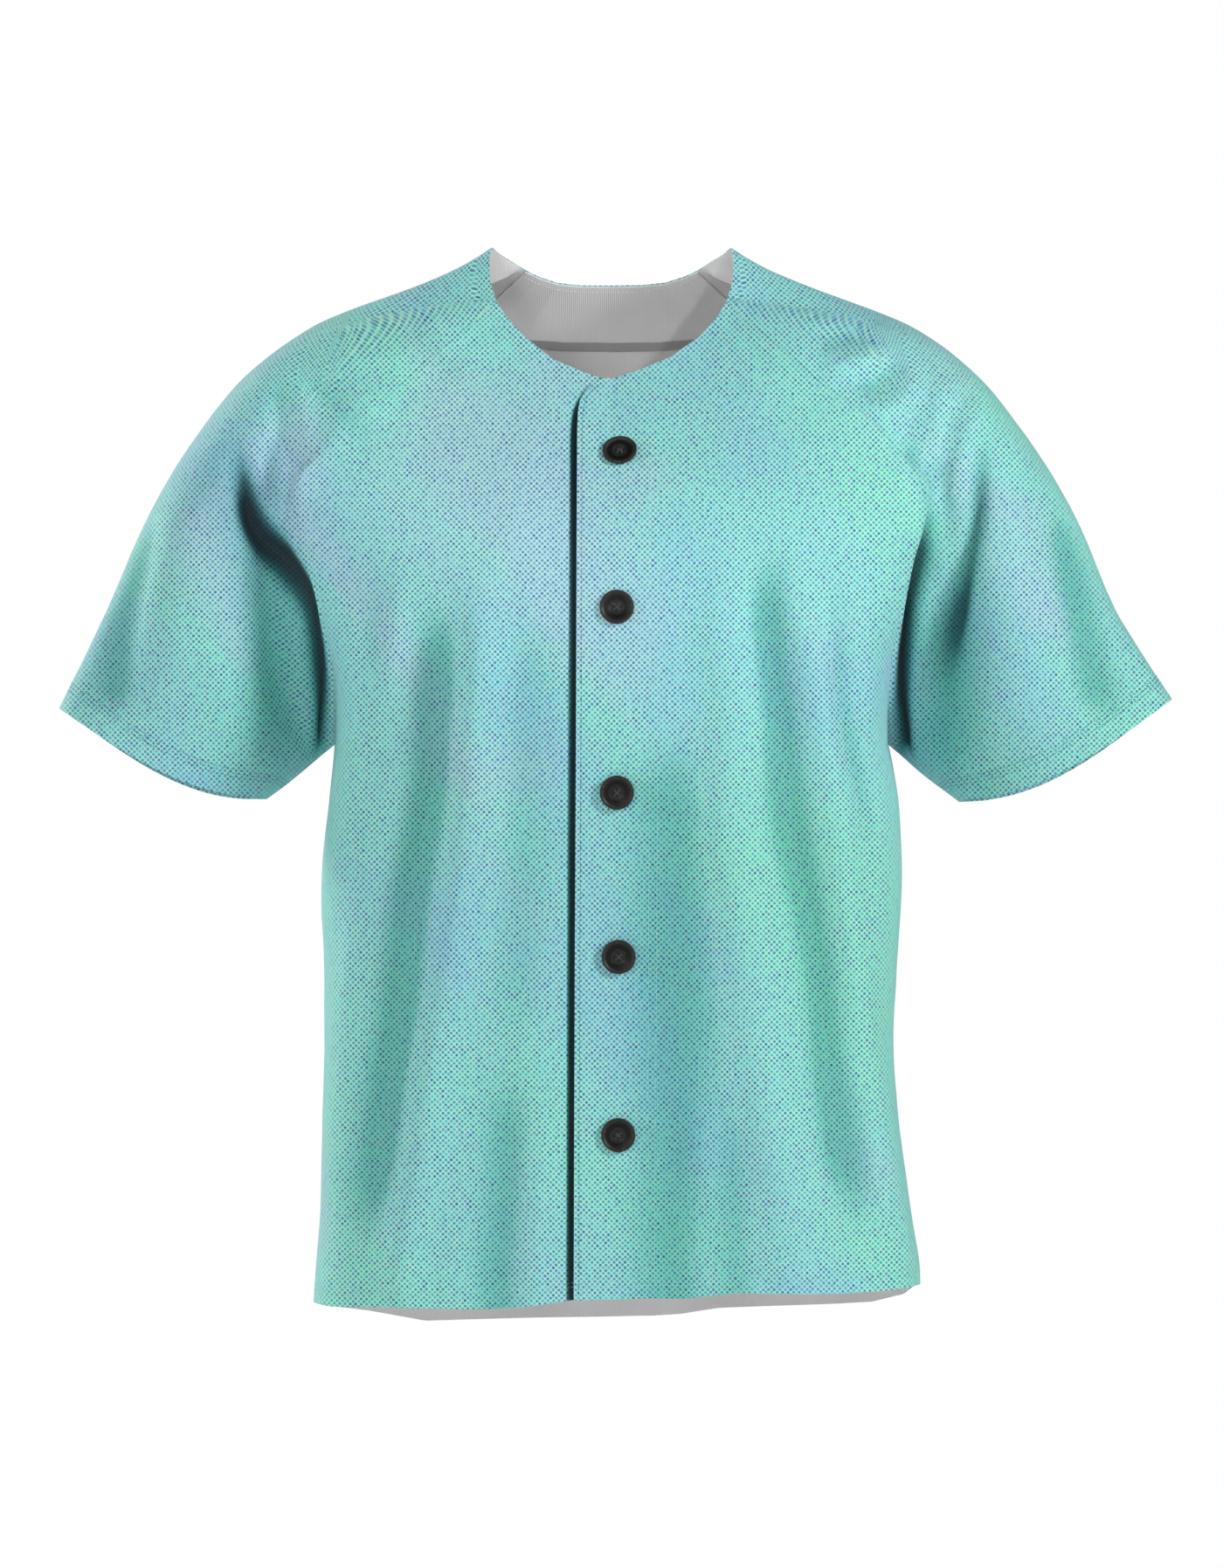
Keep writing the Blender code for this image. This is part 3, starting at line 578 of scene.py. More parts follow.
def through(knots, values, at):
    """Smooth curve through the values at the knots, read at the given places."""
    knots = np.asarray(knots, float)
    values = np.asarray(values, float)
    at = np.clip(np.asarray(at, float), knots[0], knots[-1])
    slopes = np.gradient(values, knots, axis=0)
    low = np.clip(np.searchsorted(knots, at, side="right") - 1, 0, len(knots) - 2)
    span = knots[low + 1] - knots[low]
    share = (at - knots[low]) / span
    if values.ndim > 1:
        span = span[..., None]
        share = share[..., None]
    return cubic(values[low], values[low + 1], slopes[low], slopes[low + 1], span, share)


def column(table, index):
    return np.array([row[index] for row in table])


def read(table, index, at):
    return through(column(table, 0), column(table, index), at)


def lengths(points):
    steps = np.linalg.norm(np.diff(points, axis=0), axis=1)
    return np.concatenate([[0.0], np.cumsum(steps)])


def spaced(points, shares):
    """Points at these shares of the length of a fine line."""
    run = lengths(points)
    at = np.asarray(shares) * run[-1]
    return np.stack([np.interp(at, run, points[:, axis]) for axis in range(3)], axis=1)


def smooth_line(points, shares):
    """Points at these shares of the length of a smooth line through a few points."""
    points = np.asarray(points, float)
    run = lengths(points)
    return spaced(through(run, points, np.linspace(0.0, run[-1], DENSE)), shares)


def eased(value, low, high):
    share = np.clip((value - low) / (high - low), 0.0, 1.0)
    return share * share * (3 - 2 * share)


def arc(start_y, end, turn, roundness):
    """Line in plan from the centre to the end point, turning by the given angle."""
    angle = np.linspace(0.0, math.radians(turn), DENSE)
    power = 2.0 / roundness
    across = (np.sin(angle) / math.sin(angle[-1])) ** power
    fall = 1.0 - np.clip(np.cos(angle), 0.0, 1.0) ** power
    return end[0] * across, start_y + (end[1] - start_y) * fall / fall[-1]


def half_row(side, front, level):
    """Fine line from the centre to the seam at one level: 0 is the hem, 1 the underarm, 2 the neckline."""
    centre, raglan, turns = (
        (FRONT_CENTRE, FRONT_RAGLAN, FRONT_TURN) if front else (BACK_CENTRE, BACK_RAGLAN, BACK_TURN)
    )
    rise, hem = (FRONT_NECK_RISE, FRONT_HEM) if front else (BACK_NECK_RISE, BACK_HEM)
    if level <= 1.0:
        middle_z = HEM_MEAN_Z + (UNDERARM_Z - HEM_MEAN_Z) * level
        half_width = read(TORSO, 2 if side > 0 else 1, middle_z)
        depth = read(TORSO, 3 if front else 4, middle_z)
        x, y = arc(depth, (half_width, 0.0), 90.0, TORSO_ROUNDNESS)
        stretch = read(TORSO, 2 if side > 0 else 1, HEM_MEAN_Z) / half_width
        hem_z = np.interp(side * x * stretch, column(hem, 0), column(hem, 1))
        z = hem_z * (1.0 - level) + UNDERARM_Z * level
    else:
        share = level - 1.0
        middle = smooth_line([(0.0, row[1], row[0]) for row in centre], [share])[0]
        end = smooth_line(raglan, [share])[0]
        x, y = arc(middle[1], end, read(turns, 1, share), read(turns, 2, share))
        z = middle[2] + (end[2] - middle[2]) * np.interp(x / end[0], column(rise, 0), column(rise, 1))
    return np.stack([side * x, y, z], axis=1)


def full_row(front, level):
    """Fine line from the wearer's right seam to the left one."""
    right = half_row(-1, front, level)
    left = half_row(1, front, level)
    return np.concatenate([right[::-1], left[1:]])


def cut_row(row, edge_x, side):
    """The part of a row from the lap edge out to one side."""
    run = lengths(row)
    at = np.interp(edge_x, row[:, 0], run)
    edge = np.array([np.interp(at, run, row[:, axis]) for axis in range(3)])
    if side > 0:
        return np.concatenate([[edge], row[run > at + 0.01]])
    return np.concatenate([row[run < at - 0.01], [edge]])[::-1]


def hoop(row, turn):
    """Points round a sleeve hoop at these angles: 0 at the bottom, half a turn at the top, the front first."""
    _, bottom_x, bottom_z, top_x, top_z, front_y, back_y, lean, front_stand, back_stand = row
    bottom = np.array([bottom_x, bottom_z])
    top = np.array([top_x, top_z])
    half = (bottom - top) / 2
    away = np.array([-half[1], half[0]]) / np.linalg.norm(half)
    middle = (bottom + top) / 2
    in_front = np.sin(turn) >= 0
    stand = np.where(in_front, front_stand, back_stand) * np.sin(turn) ** 2 * (1 + STAND_LEAN * np.cos(turn))
    flat = middle + np.cos(turn)[:, None] * half + stand[:, None] * away
    depth = np.where(in_front, front_y, back_y) * np.abs(np.sin(turn)) * (1 + lean * np.cos(turn))
    return np.stack([flat[:, 0], depth, flat[:, 1]], axis=1)


def row_levels(spacing):
    """Levels of the rows from the hem to the neckline, and the number of the underarm row."""
    low = round((UNDERARM_Z - HEM_MEAN_Z) * MM / spacing)
    high = round(SEAM_LENGTH / spacing)
    return list(np.linspace(0.0, 1.0, low + 1)) + list(1.0 + np.linspace(0.0, 1.0, high + 1)[1:]), low


def edge_across(z):
    """Where the front edge of the upper lap stands at a height."""
    return np.interp(z, column(OVER_EDGE, 0), column(OVER_EDGE, 1))


def front_grid(side, rows, columns):
    """Grid of one front, by row from the hem up and by column from the lap edge to the seam."""
    grid = []
    for level in rows:
        row = full_row(True, level)
        middle = row[np.abs(row[:, 0]).argmin()]
        if side > 0:
            grid.append(spaced(cut_row(row, edge_across(middle[2]), side), np.linspace(0.0, 1.0, columns + 1)))
            continue
        part = cut_row(row, UNDER_EDGE_X, side)
        run = lengths(part)
        edge = edge_across(middle[2])
        near, far = np.interp([-edge - 1.0, STEP_WIDTH + 3.5 - edge], -part[:, 0], run / run[-1])
        shares = np.concatenate([
            np.linspace(0.0, near, UNDER_COLUMNS + 1)[:-1],
            np.linspace(near, far, STEP_COLUMNS + 1)[:-1],
            np.linspace(far, 1.0, columns - UNDER_COLUMNS + 1),
        ])
        grid.append(spaced(part, shares))
    return np.array(grid)


def back_grid(rows, columns):
    shares = np.linspace(0.0, 1.0, columns + 1)
    return np.array([spaced(full_row(False, level), shares) for level in rows])


def sleeve_grid(side, shares, steps, front, back, front_normal, back_normal):
    """Grid of a sleeve, by row from the armhole to the cuff and by column round from the underarm, front first."""
    mirrored = np.array([side, 1.0, 1.0])
    seam_steps = len(shares) - 1
    front_seam = front * mirrored
    back_seam = back * mirrored
    neck = smooth_line(SLEEVE_NECK, np.linspace(0.0, 1.0, 2 * NECK_STEPS + 1))
    loop = np.concatenate([front_seam, neck[1:-1], back_seam[::-1][:-1]])
    around = len(loop)
    even_seam = through(SOLID_ROWS, np.arange(len(SOLID_ROWS)), shares) * 2 * math.pi / SOLID_AROUND
    seam_angle = np.radians(read(SEAM_ANGLE, 1, shares))
    turns = []
    for angle in (even_seam, seam_angle):
        over = np.linspace(angle[-1], 2 * math.pi - angle[-1], 2 * NECK_STEPS + 1)
        turns.append(np.concatenate([angle, over[1:-1], 2 * math.pi - angle[::-1][:-1]]))
    even, matched = turns
    rows = SLEEVE_HOOPS + (CUFF_LEFT if side > 0 else CUFF_RIGHT,)
    knots = np.array([0.0] + [row[0] for row in rows])
    hoops = [hoop(row, matched * (1 - share) + even * share) for row, share in zip(rows, EVEN_SPACING)]
    stations = np.array([loop] + hoops)
    chord = stations[1] - stations[0]
    size = np.linalg.norm(chord, axis=1, keepdims=True)
    heading = chord / size
    normals = np.zeros_like(loop)
    hold = np.zeros(around)
    normals[: seam_steps + 1] = front_normal * mirrored
    hold[: seam_steps + 1] = eased(shares, 0.2, 0.5)
    back_part = slice(around - seam_steps, around)
    normals[back_part] = (back_normal * mirrored)[::-1][:-1]
    hold[back_part] = eased(shares, 0.2, 0.5)[::-1][:-1]
    along_normal = (heading * normals).sum(axis=1, keepdims=True)
    tangent = heading - hold[:, None] * along_normal * normals
    neck_part = slice(seam_steps + 1, around - seam_steps)
    tangent[neck_part, 2] -= NECK_DIP
    slopes = np.gradient(stations, knots, axis=0)
    slopes[0] = unit(tangent) * size / knots[1]
    grid = []
    for share in np.linspace(0.0, 1.0, steps + 1):
        low = min(int(np.searchsorted(knots, share, side="right")) - 1, len(knots) - 2)
        span = knots[low + 1] - knots[low]
        part = (share - knots[low]) / span
        grid.append(cubic(stations[low], stations[low + 1], slopes[low], slopes[low + 1], span, part))
    return np.array(grid) * mirrored


def grid_normals(grid, closed, flip):
    """Normal at each point of a grid."""
    wide = np.concatenate([grid, grid[:, :1]], axis=1) if closed else grid
    face = np.cross(wide[1:, 1:] - wide[:-1, :-1], wide[1:, :-1] - wide[:-1, 1:])
    normals = np.zeros_like(wide)
    for rows in (slice(1, None), slice(None, -1)):
        for columns in (slice(1, None), slice(None, -1)):
            normals[rows, columns] += face
    if closed:
        normals[:, 0] += normals[:, -1]
        normals = normals[:, :-1]
    return -unit(normals) if flip else unit(normals)


def edge_mask(shape, closed):
    mask = np.zeros(shape[:2], bool)
    mask[[0, -1]] = True
    if not closed:
        mask[:, [0, -1]] = True
    return mask


def share_normals(panels):
    """Gives each panel its normals, with one normal for the edge points that panels share."""
    edges = []
    for panel in panels.values():
        panel["normal"] = grid_normals(panel["grid"], panel["closed"], panel["flip"])
        mask = edge_mask(panel["grid"].shape, panel["closed"])
        edges.append((panel, mask, panel["grid"][mask], panel["normal"][mask]))
    points = np.concatenate([edge[2] for edge in edges])
    own = np.concatenate([edge[3] for edge in edges])
    tree = mathutils.kdtree.KDTree(len(points))
    for index, point in enumerate(points):
        tree.insert(point, index)
    tree.balance()
    met = [own[[found for _, found, _ in tree.find_range(point, SAME_POINT)]].sum(axis=0) for point in points]
    met = unit(np.array(met))
    first = 0
    for panel, mask, held, _ in edges:
        panel["normal"][mask] = met[first : first + len(held)]
        first += len(held)


def wandered(points):
    """Places in front view, shifted a little so that no fold runs dead straight."""
    shift = [noise.noise(mathutils.Vector(point) * 0.011) for point in points.reshape(-1, 3)]
    return points[..., [0, 2]] + WANDER * np.array(shift).reshape(points.shape[:-1])[..., None]


def hanging_height(flat, knots, half_width, out):
    """Ridge or trough that follows heights and places across."""
    heights = -np.array([knot[0] for knot in knots])
    off = flat[..., 0] - through(heights, [knot[1] for knot in knots], -flat[..., 1])
    fade = eased(-flat[..., 1], heights[0], heights[0] + 80.0)
    fade *= 1.0 - eased(-flat[..., 1], heights[-1] - 80.0, heights[-1])
    return out * fade * np.exp(-((off / half_width) ** 2))


def crease_height(flat, start, end, half_width, out):
    """Ridge or trough along a straight run."""
    start = np.array(start)
    line = np.array(end) - start
    length = np.linalg.norm(line)
    line /= length
    along = (flat - start) @ line
    off = (flat - start) @ np.array([-line[1], line[0]])
    fade = eased(along, -0.5 * half_width, 1.5 * half_width)
    fade *= 1.0 - eased(along, length - 1.5 * half_width, length + 0.5 * half_width)
    return out * fade * np.exp(-((off / half_width) ** 2))


def fold_height(points, normals):
    """How far the folds move each point out."""
    flat = wandered(points)
    height = cloth_ripple(points)
    facing = {faced: eased(normals[..., 1] * faced, 0.1, 0.6) for faced in (-1, 1)}
    on_body = 1.0 - eased(np.abs(points[..., 0]), 212.0, 236.0)
    for faced, half_width, out, *knots in HANGING:
        height += facing[faced] * on_body * hanging_height(flat, knots, half_width, out)
    for faced, start_x, start_z, end_x, end_z, half_width, out in CREASES:
        height += facing[faced] * crease_height(flat, (start_x, start_z), (end_x, end_z), half_width, out)
    return height


def hollow_height(name, panel):
    """How far the hollows beside the front seam draw a sleeve in."""
    rest = panel["rest"]
    run = np.cumsum(np.linalg.norm(np.diff(rest, axis=0), axis=2), axis=0)
    from_seam = np.concatenate([np.zeros((1, rest.shape[1])), run])
    height = np.zeros(rest.shape[:2])
    for half_width, depth, *knots in HOLLOWS[name]:
        height -= hanging_height(rest[..., [0, 2]], knots, half_width, depth)
    return height * eased(from_seam, 0.0, 10.0) * eased(-panel["normal"][..., 1], 0.0, 0.35)


def cloth_ripple(points):
    """Slight unevenness of worn cloth."""
    found = [
        0.55 * noise.noise(mathutils.Vector(point) * 0.02) + 0.25 * noise.noise(mathutils.Vector(point) * 0.055)
        for point in points.reshape(-1, 3)
    ]
    return np.array(found).reshape(points.shape[:-1])


def make_panels(spacing):
    """Grids of the five panels in millimetres, folded, with the lower lap set back."""
    rows, first = row_levels(spacing)
    shares = np.array(rows[first:]) - 1.0
    front_columns = round(FRONT_WIDTH / spacing)
    back = back_grid(rows, round(BACK_WIDTH / spacing))
    panels = {
        "front_right": {"grid": front_grid(-1, rows, front_columns), "closed": False, "flip": True},
        "front_left": {"grid": front_grid(1, rows, front_columns), "closed": False, "flip": False},
        "back": {"grid": back, "closed": False, "flip": True},
    }
    back_normal = grid_normals(back, False, True)
    for side, name, front_name, seam in ((-1, "sleeve_right", "front_right", 0), (1, "sleeve_left", "front_left", -1)):
        front = panels[front_name]["grid"]
        front_normal = grid_normals(front, False, panels[front_name]["flip"])
        seams = (front[first:, -1], back[first:, seam], front_normal[first:, -1], back_normal[first:, seam])
        grid = sleeve_grid(side, shares, round(SLEEVE_LENGTH / spacing), *seams)
        panels[name] = {"grid": grid, "closed": True, "flip": side > 0}
    share_normals(panels)
    for name, panel in panels.items():
        rest = panel["grid"]
        panel["rest"] = rest
        height = fold_height(rest, panel["normal"])
        # Painted shade: the colour is darkened in the troughs of the folds, less on the back
        behind = eased(panel["normal"][..., 1], -0.2, 0.2)
        panel["turned"] = eased(-np.abs(panel["normal"][..., 1]), -0.6, -0.2)
        panel["sunk"] = FOLD_PAINTED_SHADE * (1.0 - 0.7 * behind) * eased(-height, 0.0, 7.0)
        if name in HOLLOWS:
            hollow = hollow_height(name, panel)
            height += hollow
            # Painted shade: the colour in the hollows under the arms darkens with their depth
            panel["sunk"] += eased(-hollow, 0.0, HOLLOW_FULL_SHADE_DEPTH)
        panel["grid"] = rest + panel["normal"] * height[..., None]
    lower = panels["front_right"]
    across = lower["rest"][..., 0]
    height = lower["rest"][..., 2]
    from_edge = across - edge_across(height)
    drop = LAP_SHIFT * eased(across, -LAP_FADE_TO, -LAP_FADE_FROM)
    drop += STEP_DROP * eased(from_edge, -STEP_WIDTH, -2.0) * (0.1 + 0.9 * eased(-height, 100.0, 150.0))
    lower["grid"] = lower["grid"] - lower["normal"] * drop[..., None]
    # Painted shadow: the strip of the lower lap just under the upper lap's edge is darkened in colour
    lower["sunk"] = np.maximum(lower["sunk"], eased(from_edge, -STEP_WIDTH, -2.0))
    share_normals(panels)
    for panel in panels.values():
        panel["first"] = first
        panel["grid"] = panel["grid"] * MM
    return panels


def pulled_in(grid, closed, gap):
    """The grid with its edges drawn back by half a seam gap."""
    moved = grid.copy()
    for edge, beside in ((0, 1), (-1, -2)):
        step = grid[beside] - grid[edge]
        moved[edge] += gap / 2 * step / np.linalg.norm(step, axis=1, keepdims=True)
        if not closed:
            step = grid[:, beside] - grid[:, edge]
            moved[:, edge] += gap / 2 * step / np.linalg.norm(step, axis=1, keepdims=True)
    return moved


def print_shift(step, way, held, axis):
    """Added length along a run, so that the print, flat in front view, isn't drawn out where the cloth turns away."""
    flat = step[..., [0, 2]]
    seen = np.linalg.norm(flat, axis=-1)
    added = np.maximum(seen, LEAST_SEEN * np.linalg.norm(step, axis=-1)) - seen
    start = np.zeros_like(np.take(added, [0], axis=axis))
    run = np.concatenate([start, np.cumsum(added * np.sign(flat @ way), axis=axis)], axis=axis)
    return run - np.take(run, [held], axis=axis)


def body_uv(panel):
    """Place on the print of each point of a front or back, in metres."""
    grid = panel["grid"]
    held = 0 if abs(grid[0, 0, 0]) < NEAR_CENTRE else grid.shape[1] // 2
    across = print_shift(np.diff(grid, axis=1), np.array([1.0, 0.0]), held, 1)
    up = print_shift(np.diff(grid, axis=0), np.array([0.0, 1.0]), panel["first"], 0)
    return grid[..., [0, 2]] + np.stack([across, up], axis=2)


def sleeve_uv(panel, side):
    """Place on the print of each point of a sleeve, in metres, with one more column past the underarm."""
    grid = np.concatenate([panel["grid"], panel["grid"][:, :1]], axis=1)
    arm = np.array([ARM_ACROSS * side, 0.0, -ARM_DOWN])
    down = np.array([-ARM_DOWN * side, -ARM_ACROSS])
    step = np.diff(grid, axis=1)
    step = step - (step @ arm)[..., None] * arm
    front = int(np.argmin(grid[..., 1].mean(axis=0)))
    return grid[..., [0, 2]] + print_shift(step, down, front, 1)[..., None] * down


def cloth_object(name, outer, inner, closed, flip, uv, materials, turned_rows=0, marks=None):
    """Cloth wall between two matching grids, with its unrolled map. Its last rows may be turned in at a hem."""
    rows, columns = outer.shape[:2]
    count = rows * columns
    steps = columns if closed else columns - 1
    i, j = np.meshgrid(np.arange(rows - 1), np.arange(steps), indexing="ij")
    i = i.ravel()
    j = j.ravel()
    k = (j + 1) % columns
    ring = np.stack([i * columns + j, i * columns + k, (i + 1) * columns + k, (i + 1) * columns + j], axis=1)
    place = np.stack([uv[i, j], uv[i, j + 1], uv[i + 1, j + 1], uv[i + 1, j]], axis=1)
    rim = []
    rim_uv = []

    def rim_face(start, end, start_uv, end_uv):
        rim.append((start, end, count + end, count + start))
        rim_uv.append((start_uv, end_uv, end_uv, start_uv))

    top = (rows - 1) * columns
    last = columns - 1
    for a in range(steps):
        b = (a + 1) % columns
        rim_face(b, a, uv[0, a + 1], uv[0, a])
        rim_face(top + a, top + b, uv[-1, a], uv[-1, a + 1])
    if not closed:
        for a in range(rows - 1):
            low = a * columns
            high = low + columns
            rim_face(low, high, uv[a, 0], uv[a + 1, 0])
            rim_face(high + last, low + last, uv[a + 1, last], uv[a, last])
    faces = np.concatenate([ring, count + ring[:, ::-1], np.array(rim)])
    places = np.concatenate([place, place[:, ::-1], np.array(rim_uv)])
    if flip:
        faces = faces[:, ::-1]
        places = places[:, ::-1]
    mesh = bpy.data.meshes.new(name)
    points = np.concatenate([outer.reshape(-1, 3), inner.reshape(-1, 3)])
    mesh.from_pydata(points.tolist(), [], faces.tolist())
    layer = mesh.uv_layers.new(name="cloth")
    layer.uv.foreach_set("vector", places.astype(np.float32).ravel())
    for material in materials:
        mesh.materials.append(material)
    index = np.zeros(len(faces), np.int32)
    index[len(ring) : 2 * len(ring) - turned_rows * steps] = len(materials) - 1
    mesh.polygons.foreach_set("material_index", index)
    for mark, values in (marks or {}).items():
        held = mesh.attributes.new(mark, "FLOAT", "POINT")
        held.data.foreach_set("value", np.clip(np.concatenate([values.ravel()] * 2), 0.0, 1.0).astype(np.float32))
    mesh.update()
    made = linked(name, mesh)
    smooth(made, 50.0)
    return made


def deselect_all():
    if bpy.context.object and bpy.context.object.mode != "OBJECT":
        bpy.ops.object.mode_set(mode="OBJECT")
    bpy.ops.object.select_all(action="DESELECT")


def make_active(piece):
    deselect_all()
    piece.select_set(True)
    bpy.context.view_layer.objects.active = piece


def smooth(piece, angle):
    make_active(piece)
    bpy.ops.object.shade_smooth_by_angle(angle=math.radians(angle))


PANELS = {}


def panels_of(settings):
    """The panel grids, worked out once and shared by the pieces that follow them."""
    if not PANELS:
        PANELS.update(make_panels(settings.spacing))
    return PANELS


class Nodes:
    """Short way to lay out a material's nodes."""

    def __init__(self, name):
        self.material = bpy.data.materials.new(name)
        self.material.use_nodes = True
        self.tree = self.material.node_tree
        self.shader = self.tree.nodes["Principled BSDF"]

    def add(self, kind, inputs=(), **settings):
        node = self.tree.nodes.new(kind)
        for key, value in settings.items():
            setattr(node, key, value)
        for key, value in dict(inputs).items():
            self.feed(node.inputs[key], value)
        return node

    def feed(self, socket, value):
        if isinstance(value, bpy.types.NodeSocket):
            self.tree.links.new(value, socket)
        elif isinstance(value, tuple) and len(value) == 3 and socket.type == "RGBA":
            socket.default_value = (*value, 1.0)
        else:
            socket.default_value = value

    def math(self, operation, *values):
        node = self.add("ShaderNodeMath", enumerate(values), operation=operation)
        return node.outputs[0]

    def vector(self, operation, *values):
        node = self.add("ShaderNodeVectorMath", enumerate(values), operation=operation)
        return node.outputs["Value" if operation in ("LENGTH", "DOT_PRODUCT") else "Vector"]

    def mix(self, share, first, second, blend="MIX"):
        node = self.add("ShaderNodeMix", data_type="RGBA", blend_type=blend)
        self.feed(node.inputs[0], share)
        self.feed(node.inputs[6], first)
        self.feed(node.inputs[7], second)
        return node.outputs[2]

    def step(self, value, low, high):
        """Smooth change from 0 at low to 1 at high."""
        node = self.add("ShaderNodeMapRange", interpolation_type="SMOOTHSTEP")
        for key, held in zip(("Value", "From Min", "From Max"), (value, low, high)):
            self.feed(node.inputs[key], held)
        return node.outputs["Result"]

    def noise(self, vector, scale, detail, distortion=0.0):
        node = self.add(
            "ShaderNodeTexNoise", {"Vector": vector, "Scale": scale, "Detail": detail, "Distortion": distortion}
        )
        return node.outputs["Fac"]

    def bump(self, height, distance, strength):
        node = self.add("ShaderNodeBump", {"Height": height, "Distance": distance, "Strength": strength})
        self.tree.links.new(node.outputs["Normal"], self.shader.inputs["Normal"])

    def finish(self, colour, roughness, sheen=0.0):
        self.feed(self.shader.inputs["Base Color"], colour)
        self.feed(self.shader.inputs["Roughness"], roughness)
        if sheen:
            self.shader.inputs["Sheen Weight"].default_value = sheen
            self.shader.inputs["Sheen Roughness"].default_value = 0.5
        return self.material


def knit_height(nodes, place):
    """Height of the fine knit: rows of small loops."""
    fine = nodes.vector("MULTIPLY", place, (1100.0, 780.0, 0.0))
    parts = nodes.add("ShaderNodeSeparateXYZ", {"Vector": nodes.vector("MULTIPLY", fine, (FULL_TURN, FULL_TURN, 0.0))})
    loops = nodes.math("MULTIPLY", nodes.math("SINE", parts.outputs[0]), nodes.math("SINE", parts.outputs[1]))
    return nodes.math("ADD", loops, nodes.noise(place, 420.0, 2.0))


